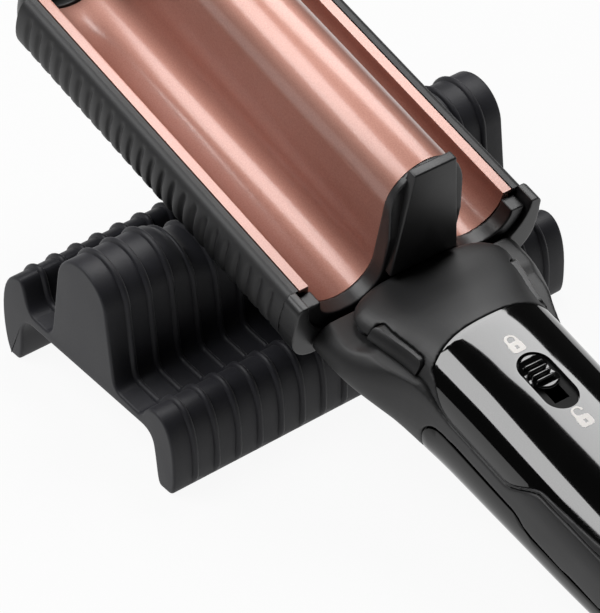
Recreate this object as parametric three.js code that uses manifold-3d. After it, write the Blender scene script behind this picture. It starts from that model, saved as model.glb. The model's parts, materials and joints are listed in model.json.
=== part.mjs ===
// Hair waver, closed and locked, lying on its ribbed silicone rest.
// Millimetres, +Z up. The waver is drawn in its own level frame, with X along the handle,
// its origin at the heel of the jaw on the rim plane, and is then tilted onto the rest.
import * as THREE from "three";
import { mergeVertices } from "three/addons/utils/BufferGeometryUtils.js";
import Module from "manifold-3d";

const wasm = await Module();
wasm.setup();

// Fits
const SEAT_GAP = 0.3;
const HAIR_GAP = 0.6;
const SWING_GAP = 0.7;

// Wave of the jaw, measured on the outer face of the upper plate
const RIDGE_RADIUS = 10.5;
const RIDGE_HEIGHT = 28.3;
const VALLEY_RADIUS = 9.65;
const VALLEY_LIFT = 0.4;
const RIM_FLANGE = 2.7;
const PLATE_LENGTH = 111.5;
const OUTER_PLATE = 1.1;
const HEATER_FILM = 0.5;
const INNER_PLATE = 1.0;
const LOWER_PLATE = 1.1;
const LOWER_PLATE_HEEL_INSET = 1.2;
const LOWER_PLATE_TIP_INSET = 2.6;

// End caps of the upper jaw
const CAP_PROUD = 0.5;
const CAP_DEPTH = 3.6;
const CAP_THICKNESS = 4.4;
const CAP_CREST_THICKNESS = 1.9;
const CAP_ARCH_FOOT = 9.6;
const TIP_CAP_THICKNESS = 3.0;
const FIN_BASE = 10.2;
const FIN_TOP = 6.3;
const FIN_HEIGHT = 29.2;
const FIN_THICKNESS = 2.6;
const FIN_LEAN = 3.1;

// Tray of the lower jaw
const TRAY_DEPTH = 18.0;
const TRAY_BULGE = 3.0;
const TRAY_CAMBER = 0.15;
const TRAY_LIP = 1.4;
const TRAY_WALL = 1.6;
const TRAY_RIM_GAP = 0.4;
const RIB_PITCH = 4.43;
const RIB_COUNT = 24;
const RIB_GROOVE_WIDTH = 1.3;
const RIB_GROOVE_DEPTH = 0.7;
const HEEL_BLOCK = 5.8;
const TIP_NOSE = 8.0;

// Arms
const FRONT_OF_NECK = 5.0;
const NECK_HALF_WIDTH = 23.8;
const LOWER_NECK_HALF_WIDTH = 31.3;
const HANDLE_HALF_WIDTH = 20.1;
const HANDLE_END_HALF_WIDTH = 16.8;
const HANDLE_TOP = 3.3;
const HANDLE_DEPTH = 33.6;
const SPLIT_DROP = 9.9;
const SPLIT_STEP = 5.4;
const STEP_START = 65.0;
const STEP_LENGTH = 11.0;
const NECK_RISE = 3.4;
const NECK_RISE_END = 46.0;
const WAIST_DROP = 10.5;
const COVER_FRONT = 30.4;
const COVER_FRONT_SWEEP = 11.0;
const LOWER_COVER_FRONT = 37.6;
const LOWER_COVER_TOP = 15.8;
const LOWER_COVER_STEP = 2.6;
const ARM_GAP = 0.35;
const SHELL_WALL = 2.2;
const DECK = 1.5;
const HOLLOW_SHORT = 8.5;

// Hinge at the rear
const HINGE_X = 146.0;
const HINGE_DROP = 5.4;
const KNUCKLE_RADIUS = 6.5;
const KNUCKLE_HALF_WIDTH = 6.7;
const PIN_RADIUS = 1.8;
const PIN_CLEARANCE = 0.28;
const PIN_HALF_LENGTH = 15.6;
const REAR_BLOCK_END = 163.0;
const SPRING_COIL_RADIUS = 3.4;
const SPRING_WIRE_RADIUS = 0.55;
const SPRING_TURNS = 4;
const SPRING_LEG = 5.4;

// Lock slide
const LOCK_X = 50.6;
const LOCK_TRAVEL = 6.5;
const LOCK_LENGTH = 7.2;
const LOCK_WIDTH = 7.2;
const RECESS_FRONT = 44.4;
const RECESS_LENGTH = 18.4;
const RECESS_WIDTH = 9.4;
const RECESS_DEPTH = 1.4;
const STEM_WIDTH = 3.4;
const STEM_LENGTH = 3.6;
const HOOK_REACH = 3.2;
const LOCK_RIDGES = 5;

// Controls on the upper cover
const POWER_BUTTON_X = 123.5;
const POWER_BUTTON_RADIUS = 4.4;
const SET_BUTTON_RADIUS = 3.4;
const SET_BUTTON_X = [101.0, 111.5];
const BUTTON_CLEARANCE = 0.3;
const BUTTON_PROUD = 0.9;
const BUTTON_TRAVEL = 0.5;
const BUTTON_FLANGE = 0.8;
const BUTTON_FLANGE_THICKNESS = 0.6;
const BOARD_THICKNESS = 0.8;
const BOARD_HALF_WIDTH = 7.0;
const BOARD_ENDS = [86.0, 128.6];
const LENS_X = 91.0;
const LENS_LENGTH = 6.0;
const LENS_WIDTH = 2.6;

// Guide tabs, bumpers, screws, gland
const TAB_FRONT = 16.0;
const TAB_LENGTH = 15.0;
const TAB_HEIGHT = 3.4;
const TAB_PROUD = 0.5;
const TAB_DEPTH = 1.2;
const BUMPER_X = 12.5;
const BUMPER_RADIUS = 2.3;
const SCREW_X = [80.0, 133.0];
const SCREW_HEAD_RADIUS = 2.5;
const SCREW_HEAD = 1.2;
const SCREW_SHANK_RADIUS = 1.15;
const SCREW_LENGTH = 6.0;
const GLAND_RADIUS = 7.4;
const GLAND_NECK_RADIUS = 5.0;
const GLAND_BORE_RADIUS = 3.8;
const GLAND_LENGTH = 9.0;
const GLAND_BORE_DEPTH = 8.0;

// Rest
const REST_WIDTH = 126.0;
const REST_HALF_SPAN = 35.6;
const REST_SLAB_UNDER = 15.0;
const REST_SLAB_TOP = 18.1;
const TIP_HUMP_TOP = 27.2;
const HEEL_HUMP_TOP = 22.6;
const TALL_HUMP_X = -1.5;
const TALL_HUMP_TOP = 48.4;
const TALL_HUMP_RADIUS = 10.0;
const CRADLE_DEPTH = 4.8;
const CRADLE_HALF_WIDTH = 34.5;
const CRADLE_RISE = 8.0;
const BEAD_PITCH = 6.65;
const BEAD_COUNT = 18;
const BEAD_WIDTH = 2.0;
const BEAD_HEIGHT = 0.9;

// How the waver lies on the rest
const TILT = THREE.MathUtils.degToRad(11.2);
const REST_TURN = THREE.MathUtils.degToRad(1.35);
const HEEL_PAST_REST = 43.65;
const WAVER_ASIDE = 2.3;
const FLOOR_REST_X = 153.0;
const FLOOR_GAP = 0.8;

// Values worked out from the ones above
const ridgeCentreZ = RIDGE_HEIGHT - RIDGE_RADIUS;
const valleyCentreY = RIDGE_RADIUS + VALLEY_RADIUS;
const plateHalfWidth = RIDGE_RADIUS + 2 * VALLEY_RADIUS + RIM_FLANGE;
const filmTop = OUTER_PLATE + SEAT_GAP;
const innerTop = filmTop + HEATER_FILM + SEAT_GAP;
const innerBottom = innerTop + INNER_PLATE;
const lowerTop = innerBottom + HAIR_GAP;
const lowerBottom = lowerTop + LOWER_PLATE;
const trayRimInner = plateHalfWidth + TRAY_RIM_GAP;
const trayRimOuter = trayRimInner + TRAY_LIP;
const trayHalfWidth = trayRimOuter + TRAY_BULGE;
const hingeZ = -HINGE_DROP;
const sinTilt = Math.sin(TILT);
const cosTilt = Math.cos(TILT);
const crestReach = TALL_HUMP_TOP - CRADLE_DEPTH - TALL_HUMP_RADIUS;
const heelHeight = (crestReach * cosTilt + TALL_HUMP_RADIUS + BEAD_HEIGHT + TRAY_DEPTH + TRAY_CAMBER + SEAT_GAP
  - (HEEL_PAST_REST - TALL_HUMP_X) * sinTilt) / cosTilt;

const finishes = {
  roseGold: new THREE.MeshStandardMaterial({ color: 0xbe8273, roughness: 0.32, metalness: 1 }),
  mattePolymer: new THREE.MeshStandardMaterial({ color: 0x333333, roughness: 0.62, metalness: 0 }),
  glossPolymer: new THREE.MeshStandardMaterial({ color: 0x060606, roughness: 0.06, metalness: 0 }),
  capPolymer: new THREE.MeshStandardMaterial({ color: 0x262626, roughness: 0.5, metalness: 0 }),
  silicone: new THREE.MeshStandardMaterial({ color: 0x26262c, roughness: 0.7, metalness: 0 }),
  steel: new THREE.MeshStandardMaterial({ color: 0xb4b4b2, roughness: 0.35, metalness: 1 }),
  ceramic: new THREE.MeshStandardMaterial({ color: 0xe6e2d8, roughness: 0.6, metalness: 0 }),
  board: new THREE.MeshStandardMaterial({ color: 0x1f5a34, roughness: 0.5, metalness: 0 }),
  film: new THREE.MeshStandardMaterial({ color: 0xb06a1c, roughness: 0.4, metalness: 0 }),
  lens: new THREE.MeshStandardMaterial({ color: 0xd9d9dc, roughness: 0.2, metalness: 0 }),
};

// Geometry helpers

function clean(geometry) {
  const bare = geometry.index ? geometry : geometry.clone();
  bare.deleteAttribute("normal");
  bare.deleteAttribute("uv");
  return mergeVertices(bare, 1e-4);
}

function toSolid(geometry) {
  const merged = clean(geometry);
  return new wasm.Manifold(new wasm.Mesh({
    numProp: 3,
    vertProperties: new Float32Array(merged.attributes.position.array),
    triVerts: new Uint32Array(merged.index.array),
  }));
}

function fromSolid(solid) {
  const mesh = solid.getMesh();
  const geometry = new THREE.BufferGeometry();
  geometry.setAttribute("position", new THREE.BufferAttribute(new Float32Array(mesh.vertProperties), 3));
  geometry.setIndex(new THREE.BufferAttribute(new Uint32Array(mesh.triVerts), 1));
  geometry.computeVertexNormals();
  return geometry;
}

function joined(solids) {
  return solids.reduce((whole, next) => whole.add(next));
}

function cut(solid, tools) {
  return tools.reduce((rest, tool) => rest.subtract(tool), solid);
}

function outline(points) {
  return new THREE.Shape(points.map(([a, b]) => new THREE.Vector2(a, b)));
}

// Outline in Y and Z, pulled along X
function prismX(points, x0, x1) {
  const geometry = new THREE.ExtrudeGeometry(outline(points), { depth: x1 - x0, bevelEnabled: false });
  const axes = new THREE.Matrix4().makeBasis(
    new THREE.Vector3(0, 1, 0), new THREE.Vector3(0, 0, 1), new THREE.Vector3(1, 0, 0));
  return geometry.applyMatrix4(axes).translate(x0, 0, 0);
}

// Outline in X and Z, pulled along Y
function prismY(points, y0, y1) {
  const geometry = new THREE.ExtrudeGeometry(outline(points), { depth: y1 - y0, bevelEnabled: false });
  return geometry.rotateX(Math.PI / 2).translate(0, y1, 0);
}

// Outline in X and Y, pulled along Z
function prismZ(points, z0, z1) {
  const geometry = new THREE.ExtrudeGeometry(outline(points), { depth: z1 - z0, bevelEnabled: false });
  return geometry.translate(0, 0, z0);
}

function block(x0, x1, y0, y1, z0, z1) {
  return new THREE.BoxGeometry(x1 - x0, y1 - y0, z1 - z0)
    .translate((x0 + x1) / 2, (y0 + y1) / 2, (z0 + z1) / 2);
}

function rodY(x, z, radius, y0, y1, sides = 24) {
  return new THREE.CylinderGeometry(radius, radius, y1 - y0, sides).translate(x, (y0 + y1) / 2, z);
}

function rodZ(x, y, radius, z0, z1, sides = 24) {
  return new THREE.CylinderGeometry(radius, radius, z1 - z0, sides)
    .rotateX(Math.PI / 2).translate(x, y, (z0 + z1) / 2);
}

// Skin over closed sections that all have the same number of points, with flat ends
function loft(sections) {
  const count = sections[0].length;
  const positions = sections.flat().flatMap((p) => [p.x, p.y, p.z]);
  const faces = [];
  for (let s = 0; s + 1 < sections.length; s += 1) {
    for (let i = 0; i < count; i += 1) {
      const a = s * count + i;
      const b = s * count + (i + 1) % count;
      faces.push(a, b, b + count, a, b + count, a + count);
    }
  }
  const capped = (section, first, facingOn) => {
    const alongX = Math.abs(section[0].x - section[Math.floor(count / 2)].x) < 1e-6;
    const flat = section.map((p) => (alongX ? new THREE.Vector2(p.y, p.z) : new THREE.Vector2(p.x, p.z)));
    const follow = THREE.ShapeUtils.isClockWise(flat) !== facingOn;
    for (const [a, b, c] of THREE.ShapeUtils.triangulateShape(flat, [])) {
      faces.push(first + a, first + (follow ? b : c), first + (follow ? c : b));
    }
  };
  capped(sections[0], 0, false);
  capped(sections.at(-1), (sections.length - 1) * count, true);
  const geometry = new THREE.BufferGeometry();
  geometry.setAttribute("position", new THREE.Float32BufferAttribute(positions, 3));
  geometry.setIndex(faces);
  return geometry;
}

// Points along a path, with so many steps on each of its curves
function sampled(path, steps) {
  const points = path.curves.flatMap((curve, i) => curve.getPoints(steps[i]).slice(i ? 1 : 0));
  return points.map((p) => [p.x, p.y]);
}

function smooth(t) {
  const c = Math.min(1, Math.max(0, t));
  return c * c * (3 - 2 * c);
}

// Curve through a few stations, used as a size that changes along the handle
function along(stations) {
  const curve = new THREE.SplineCurve(stations.map(([x, v]) => new THREE.Vector2(x, v)));
  const samples = curve.getPoints(stations.length * 24);
  return (x) => {
    const next = samples.findIndex((p) => p.x >= x);
    if (next < 0) return samples.at(-1).y;
    if (next === 0) return samples[0].y;
    const [p, q] = [samples[next - 1], samples[next]];
    return p.y + (q.y - p.y) * (x - p.x) / (q.x - p.x);
  };
}

function piece(name, finish, geometry) {
  const mesh = new THREE.Mesh(geometry, finishes[finish]);
  mesh.name = name;
  return mesh;
}

// Wave of the jaw

// The wave at a depth under the outer face, from the +Y end to the -Y end
function waveLine(depth, endZ, flangeY = null) {
  const ridge = RIDGE_RADIUS - depth;
  const valley = VALLEY_RADIUS + depth;
  const half = [];
  const lastAngle = 2 * Math.PI + Math.asin((endZ - VALLEY_LIFT) / valley);
  const valleySteps = 10;
  for (let i = 0; i <= valleySteps; i += 1) {
    const angle = lastAngle + (Math.PI - lastAngle) * i / valleySteps;
    half.push([valleyCentreY + valley * Math.cos(angle), VALLEY_LIFT + valley * Math.sin(angle)]);
  }
  const ridgeSteps = 5;
  for (let i = 0; i <= ridgeSteps; i += 1) {
    const angle = Math.PI / 2 * i / ridgeSteps;
    half.push([ridge * Math.cos(angle), ridgeCentreZ + ridge * Math.sin(angle)]);
  }
  if (flangeY !== null) half.unshift([flangeY, endZ]);
  const mirrored = half.slice(0, -1).reverse().map(([y, z]) => [-y, z]);
  return [...half, ...mirrored];
}

function waveSheet(outer, inner, x0, x1) {
  return prismX([...outer, ...inner.reverse()], x0, x1);
}

function upperOuterPlate() {
  const outer = waveLine(0, 0, plateHalfWidth);
  const inner = waveLine(OUTER_PLATE, -OUTER_PLATE, plateHalfWidth);
  return piece("upper_outer_plate", "roseGold", waveSheet(outer, inner, -PLATE_LENGTH, 0));
}

function upperHeaterFilm() {
  const edge = -(filmTop + HEATER_FILM);
  const sheet = waveSheet(waveLine(filmTop, edge), waveLine(filmTop + HEATER_FILM, edge),
    -PLATE_LENGTH + 6, -6);
  return piece("upper_heater_film", "film", sheet);
}

function upperInnerPlate() {
  const edge = -innerBottom;
  const sheet = waveSheet(waveLine(innerTop, edge), waveLine(innerBottom, edge), -PLATE_LENGTH, 0);
  return piece("upper_inner_plate", "roseGold", sheet);
}

function lowerPlate() {
  const edge = -(TRAY_LIP + SEAT_GAP);
  const sheet = waveSheet(waveLine(lowerTop, edge), waveLine(lowerBottom, edge),
    -PLATE_LENGTH + LOWER_PLATE_TIP_INSET, -LOWER_PLATE_HEEL_INSET);
  return piece("lower_plate", "roseGold", sheet);
}

// The closed end of the upper jaw: the wave band, with the arch under the ridge filled
function capEnd(x0, x1) {
  const edge = 0;
  const band = toSolid(waveSheet(waveLine(-CAP_PROUD, edge), waveLine(CAP_DEPTH, -CAP_DEPTH), x0, x1));
  const archHalf = RIDGE_RADIUS - 1;
  const arch = [[archHalf, -CAP_ARCH_FOOT], [archHalf, ridgeCentreZ]];
  for (let i = 1; i < 8; i += 1) {
    const angle = Math.PI * i / 8;
    arch.push([archHalf * Math.cos(angle), ridgeCentreZ + archHalf * Math.sin(angle)]);
  }
  arch.push([-archHalf, ridgeCentreZ], [-archHalf, -CAP_ARCH_FOOT]);
  return band.add(toSolid(prismX(arch, x0, x1)));
}

// Tall blade in front of the ridge that keeps the fingers off the hot plate
function fingerGuard(back) {
  const baseZ = -1.2;
  const ring = (x, halfWidth, z) => [
    new THREE.Vector3(x, halfWidth, z),
    new THREE.Vector3(x, -halfWidth, z),
  ];
  const rows = 5;
  const sections = [];
  for (let i = 0; i <= rows; i += 1) {
    const t = i / rows;
    const z = baseZ + (FIN_HEIGHT - baseZ) * t;
    const half = FIN_BASE + (FIN_TOP - FIN_BASE) * Math.max(0, z / FIN_HEIGHT);
    const front = back + FIN_THICKNESS + FIN_LEAN * (1 - t);
    const [a, b] = ring(front, half, z);
    const [c, d] = ring(back, half, z);
    sections.push([a, c, d, b]);
  }
  return toSolid(loftUp(sections));
}

// Loft whose sections lie level, one above the other
function loftUp(sections) {
  const count = sections[0].length;
  const positions = sections.flat().flatMap((p) => [p.x, p.y, p.z]);
  const faces = [];
  for (let s = 0; s + 1 < sections.length; s += 1) {
    for (let i = 0; i < count; i += 1) {
      const a = s * count + i;
      const b = s * count + (i + 1) % count;
      faces.push(a, b, b + count, a, b + count, a + count);
    }
  }
  const last = (sections.length - 1) * count;
  for (let i = 1; i + 1 < count; i += 1) {
    faces.push(0, i + 1, i);
    faces.push(last, last + i, last + i + 1);
  }
  const geometry = new THREE.BufferGeometry();
  geometry.setAttribute("position", new THREE.Float32BufferAttribute(positions, 3));
  geometry.setIndex(faces);
  return geometry;
}

function upperHeelCap() {
  const crestX = SEAT_GAP + CAP_CREST_THICKNESS;
  const thickX = SEAT_GAP + CAP_THICKNESS;
  const front = [[20, 40], [20, 2], [thickX + 0.2, 2], [crestX, 12], [crestX, 40]];
  const scooped = toSolid(prismY(front, -RIDGE_RADIUS - 2, RIDGE_RADIUS + 2));
  const cap = capEnd(SEAT_GAP, thickX).subtract(scooped);
  return piece("upper_heel_cap", "capPolymer", fromSolid(cap.add(fingerGuard(SEAT_GAP + 0.8))));
}

function upperTipCap() {
  const x1 = -PLATE_LENGTH - SEAT_GAP;
  return piece("upper_tip_cap", "capPolymer", fromSolid(capEnd(x1 - TIP_CAP_THICKNESS, x1)));
}

// Tray of the lower jaw

// Outside of the tray from the +Y rim, down and under, to the -Y rim
function trayOutside() {
  const path = new THREE.Path();
  const mid = -TRAY_DEPTH / 2;
  path.moveTo(trayRimOuter, 0);
  path.bezierCurveTo(trayRimOuter + 2.4, -0.4, trayHalfWidth + 0.2, -4.5, trayHalfWidth, mid);
  path.bezierCurveTo(trayHalfWidth - 0.2, -14.2, trayHalfWidth - 2.8, -TRAY_DEPTH,
    trayHalfWidth - 8, -TRAY_DEPTH);
  path.lineTo(trayHalfWidth - 15, -TRAY_DEPTH - TRAY_CAMBER);
  const half = sampled(path, [2, 4, 1]);
  return [...half, ...half.slice().reverse().map(([y, z]) => [-y, z])];
}

function trayInside() {
  const pocket = valleyCentreY + VALLEY_RADIUS + lowerBottom + SEAT_GAP;
  const half = [
    [trayRimInner, 0],
    [trayRimInner, -TRAY_LIP],
    [pocket, -TRAY_LIP - 0.1],
    [trayRimInner + TRAY_WALL, -TRAY_DEPTH + 6],
    [trayRimInner - 4, -TRAY_DEPTH + TRAY_WALL],
  ];
  return [...half, ...half.slice().reverse().map(([y, z]) => [-y, z])];
}

// The same outline with the groove pressed in, fading out at the shoulder and under the floor
function grooved(points) {
  return points.map(([y, z], i) => {
    const before = points[Math.max(0, i - 1)];
    const after = points[Math.min(points.length - 1, i + 1)];
    const tangent = new THREE.Vector2(after[0] - before[0], after[1] - before[1]).normalize();
    const shoulder = smooth((-z - 1.8) / 3.2);
    const under = smooth((Math.abs(y) - (trayHalfWidth - 13)) / 6);
    const depth = RIB_GROOVE_DEPTH * shoulder * under;
    return [y + tangent.y * depth, z - tangent.x * depth];
  });
}

function trayHousing() {
  const plain = trayOutside();
  const pressed = grooved(plain);
  const inside = trayInside().reverse();
  const at = (x, points) => [...points, ...inside].map(([y, z]) => new THREE.Vector3(x, y, z));
  const start = -PLATE_LENGTH - SEAT_GAP;
  const sections = [at(start, plain)];
  const first = start + (PLATE_LENGTH + SEAT_GAP - (RIB_COUNT - 1) * RIB_PITCH) / 2;
  for (let i = 0; i < RIB_COUNT; i += 1) {
    const x = first + i * RIB_PITCH;
    sections.push(at(x - RIB_GROOVE_WIDTH / 2, plain), at(x, pressed), at(x + RIB_GROOVE_WIDTH / 2, plain));
  }
  sections.push(at(0, plain));
  return piece("tray_housing", "mattePolymer", loft(sections.reverse()));
}

// Space that the upper jaw's end cap needs as it lifts out
function capPath(x0, x1, margin) {
  const line = waveLine(CAP_DEPTH + margin, 1).filter(([, z]) => z < 2);
  const right = line.filter(([y]) => y > 0);
  const lowest = Math.min(...right.map(([, z]) => z));
  const outerRight = right.filter(([y]) => y >= valleyCentreY);
  const shape = [...outerRight, [valleyCentreY, lowest], [-valleyCentreY, lowest],
    ...outerRight.slice().reverse().map(([y, z]) => [-y, z])];
  return toSolid(prismX(shape, x0, x1));
}

function lowerHeelCap() {
  const body = toSolid(prismX(trayOutside(), SEAT_GAP, SEAT_GAP + HEEL_BLOCK));
  const shaped = body.subtract(capPath(-1, SEAT_GAP + HEEL_BLOCK + 1, SWING_GAP));
  return piece("lower_heel_cap", "capPolymer", fromSolid(shaped));
}

function lowerTipCap() {
  const outside = trayOutside();
  const x1 = -PLATE_LENGTH - 2 * SEAT_GAP;
  const steps = 5;
  const sections = [];
  for (let i = 0; i <= steps; i += 1) {
    const t = i / steps;
    const scale = 0.94 - 0.12 * t * t;
    const x = x1 - TIP_NOSE * t;
    const points = outside.map(([y, z]) => {
      const down = -TRAY_DEPTH / 2 + (z + TRAY_DEPTH / 2) * (0.96 - 0.2 * t * t);
      return new THREE.Vector3(x, y * scale, down);
    });
    sections.push(points);
  }
  const nose = toSolid(loft(sections));
  const reach = TIP_CAP_THICKNESS + SWING_GAP + 0.3;
  const shaped = nose.subtract(capPath(x1 - reach, x1 + 1, SWING_GAP));
  return piece("lower_tip_cap", "capPolymer", fromSolid(shaped));
}

// Parts inside the lower jaw
const heaterThickness = 3.2;
const heaterHeight = 20.0;
const heaterLength = 92.0;
const heaterX = -PLATE_LENGTH / 2;
const trayFloor = -TRAY_DEPTH + TRAY_WALL;
const carrierBase = 1.6;
const carrierWall = 1.0;

function heaterCarrier() {
  const z0 = trayFloor + SEAT_GAP;
  const half = heaterThickness / 2 + SEAT_GAP;
  const channel = [
    [half + carrierWall, z0],
    [half + carrierWall, z0 + 9],
    [half, z0 + 9],
    [half, z0 + carrierBase],
    [-half, z0 + carrierBase],
    [-half, z0 + 9],
    [-half - carrierWall, z0 + 9],
    [-half - carrierWall, z0],
  ];
  const x0 = heaterX - heaterLength / 2 - 1;
  return piece("heater_carrier", "ceramic", prismX(channel, x0, x0 + heaterLength + 2));
}

function lowerHeater() {
  const z0 = trayFloor + SEAT_GAP * 2 + carrierBase;
  const y = heaterThickness / 2;
  return piece("lower_heater", "ceramic", block(heaterX - heaterLength / 2, heaterX + heaterLength / 2,
    -y, y, z0, z0 + heaterHeight));
}

function thermalFuse() {
  const radius = 1.0;
  const z = trayFloor + SEAT_GAP + radius;
  const y = valleyCentreY + 5.2;
  const body = new THREE.CylinderGeometry(radius, radius, 11, 12).rotateZ(Math.PI / 2)
    .translate(-24, y + 3, z);
  return piece("thermal_fuse", "steel", body);
}

// Arms

const splitZ = (x) => -SPLIT_DROP
  + NECK_RISE * (1 - smooth((x - NECK_RISE_END) / 14 + 1))
  + SPLIT_STEP * smooth((x - STEP_START) / STEP_LENGTH)
  - (SPLIT_STEP - 1.0) * smooth((x - 100) / 36);

const upperHalfWidth = along([
  [FRONT_OF_NECK, NECK_HALF_WIDTH - 8], [6.8, NECK_HALF_WIDTH - 3.4], [9.6, NECK_HALF_WIDTH - 0.5],
  [13, NECK_HALF_WIDTH], [20, NECK_HALF_WIDTH - 1.3], [30, HANDLE_HALF_WIDTH + 0.6],
  [42, HANDLE_HALF_WIDTH], [72, HANDLE_HALF_WIDTH - 0.3], [110, HANDLE_HALF_WIDTH - 1.6],
  [HINGE_X, HANDLE_END_HALF_WIDTH],
]);

const crownZ = along([
  [FRONT_OF_NECK, HANDLE_TOP - 8.6], [8, HANDLE_TOP - 6.6], [14, HANDLE_TOP - 4.9], [22, HANDLE_TOP - 2.8],
  [32, HANDLE_TOP - 1.1], [44, HANDLE_TOP - 0.2], [60, HANDLE_TOP], [100, HANDLE_TOP - 0.8],
  [HINGE_X, hingeZ + KNUCKLE_RADIUS],
]);

const heelStart = SEAT_GAP * 2 + HEEL_BLOCK;
const restBottom = -(heelHeight - sinTilt * FLOOR_REST_X - FLOOR_GAP) / cosTilt;

const lowerHalfWidth = along([
  [heelStart, LOWER_NECK_HALF_WIDTH], [13, LOWER_NECK_HALF_WIDTH - 0.3], [19, LOWER_NECK_HALF_WIDTH - 1.4],
  [25, LOWER_NECK_HALF_WIDTH - 4.2], [31, HANDLE_HALF_WIDTH + 3.2], [38, HANDLE_HALF_WIDTH + 0.8],
  [46, HANDLE_HALF_WIDTH], [72, HANDLE_HALF_WIDTH - 0.3], [110, HANDLE_HALF_WIDTH - 1.6],
  [HINGE_X, HANDLE_END_HALF_WIDTH], [REAR_BLOCK_END - 5, HANDLE_END_HALF_WIDTH - 1.2],
  [REAR_BLOCK_END, HANDLE_END_HALF_WIDTH - 4.5],
]);

const bottomZ = along([
  [heelStart, -TRAY_DEPTH + 0.2], [12, -TRAY_DEPTH - 0.6], [18, -TRAY_DEPTH - 3], [25, -TRAY_DEPTH - 8],
  [32, -HANDLE_DEPTH + 2.2], [39, -HANDLE_DEPTH], [48, -HANDLE_DEPTH + 0.3], [70, -HANDLE_DEPTH + 1.9],
  [100, -HANDLE_DEPTH + 3.5], [FLOOR_REST_X, restBottom], [REAR_BLOCK_END, restBottom + 3.4],
]);

const lowerTopZ = (x) => splitZ(x) - ARM_GAP - 1.6 * (1 - smooth((x - 15) / 6));

// Half-round section: base corners at the split, crown above or keel below
function halfRound(x, half, base, tip, power, steps) {
  const points = [];
  for (let i = 0; i <= steps; i += 1) {
    const angle = Math.PI * i / steps;
    const c = Math.cos(angle);
    const y = half * Math.sign(c) * Math.abs(c) ** (2 / power);
    const z = base + (tip - base) * Math.abs(Math.sin(angle)) ** (2 / power);
    points.push(new THREE.Vector3(x, y, z));
  }
  return points;
}

const upperStations = [5.8, 7.2, 9.4, 13, 20, 26, 32, 40, 52, 76, 100, 124];
const lowerStations = [12, 16, 19, 22.5, 26, 30, 34, 39, 46, 60, 76, 100, 124, 150, 155, 159, 161.6];
const hollowStations = [14, 20, 28, 40, 60, 100, 124];
const shellSteps = 12;
const waistSteps = 8;
const hollowSteps = 8;
const upperPower = (x) => 3.4 - 1.0 * smooth((x - 22) / 18);
const lowerPower = 3.4;
const waistZ = -WAIST_DROP;

// Everything above or below the line where the arms part, seen from the side
function partingSide(lineZ, above, lastX) {
  const stations = [-20, 15, 17, 19, 21, 31.5, 35, 37, 39, 41, 43, 46, 65, 67, 69, 70.5, 72, 74, 76, 100, 106, 112,
    118, 124, 130, lastX];
  const edge = stations.map((x) => [x, lineZ(x)]);
  const far = above ? 40 : -60;
  const side = [...edge, [lastX, far], [-20, far]];
  return toSolid(prismY(above ? side : side.reverse(), -50, 50));
}

// The arms share one oval: a rounded crown and a fuller keel that meet at the waist
function upperOval(inset, stations, steps) {
  const sections = stations.map((x) => {
    const half = upperHalfWidth(x) - inset;
    return halfRound(x, half, waistZ, crownZ(x) - inset, upperPower(x), steps);
  });
  return toSolid(loft(sections));
}

function upperForm(inset) {
  const first = FRONT_OF_NECK + (inset ? SHELL_WALL + 1 : 0);
  const last = HINGE_X - (inset ? HOLLOW_SHORT : 0);
  const middle = (inset ? hollowStations : upperStations).filter((x) => x > first + 1 && x < last - 1);
  const oval = upperOval(inset, [first, ...middle, last], inset ? hollowSteps : shellSteps);
  return oval.intersect(partingSide((x) => splitZ(x) + (inset ? DECK : 0), true, HINGE_X + 5));
}

function lowerForm(inset) {
  const first = heelStart + (inset ? SHELL_WALL + 1 : 0);
  const last = inset ? HINGE_X - HOLLOW_SHORT : REAR_BLOCK_END;
  const middle = (inset ? hollowStations : lowerStations).filter((x) => x > first + 1 && x < last - 1);
  const sections = [first, ...middle, last].map((x) => {
    const half = lowerHalfWidth(x) - inset;
    const crown = crownZ(x) - inset - 3 * smooth((x - HINGE_X - 6) / 14);
    const over = halfRound(x, half, waistZ, crown, upperPower(x), inset ? hollowSteps : waistSteps);
    const under = halfRound(x, half, waistZ, bottomZ(x) + inset, lowerPower, inset ? hollowSteps : shellSteps);
    return [...over, ...under.reverse().slice(1, -1)];
  });
  const room = partingSide((x) => lowerTopZ(x) - (inset ? DECK : 0), false, REAR_BLOCK_END + 5);
  const rear = toSolid(block(HINGE_X + 4, REAR_BLOCK_END + 1, -40, 40, -60, 40));
  const oval = toSolid(loft(sections));
  return oval.intersect(inset ? room : room.add(rear));
}

const knuckleRoom = (radius, y0, y1) => toSolid(rodY(HINGE_X, hingeZ, radius, y0, y1, 24));
const pinBore = () => toSolid(rodY(HINGE_X, hingeZ, PIN_RADIUS + PIN_CLEARANCE, -40, 40, 16));

// Region of the gloss cover: a U in plan, above an edge line seen from the side
function coverRegion(grow) {
  const sweep = [];
  const steps = 12;
  const reach = HANDLE_HALF_WIDTH + 1;
  for (let i = 0; i <= steps; i += 1) {
    const t = -1 + 2 * i / steps;
    const bend = COVER_FRONT_SWEEP * Math.abs(t) ** 3;
    sweep.push([COVER_FRONT - grow + bend, -(reach + 4) * Math.sign(t) * Math.abs(t) ** 0.9]);
  }
  const plan = [...sweep, [HINGE_X + 20, -(reach + 4)], [HINGE_X + 20, reach + 4]];
  const edge = [0, 34, 36.5, 38.5, 40.5, 43, 65, 68, 70, 72, 74, 76, 80, 88, 96, 104, 118, 132, 150].map((x) => {
    const lift = 1.2 + 2.2 * (1 - smooth((x - 34) / 8)) + smooth((x - 80) / 16);
    return [x, splitZ(x) + lift - grow];
  });
  const side = [...edge, [170, edge.at(-1)[1]], [170, 30], [0, 30]];
  return toSolid(prismZ(plan, -40, 40)).intersect(toSolid(prismY(side, -50, 50)));
}

const recessCentreX = RECESS_FRONT + RECESS_LENGTH / 2;

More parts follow.
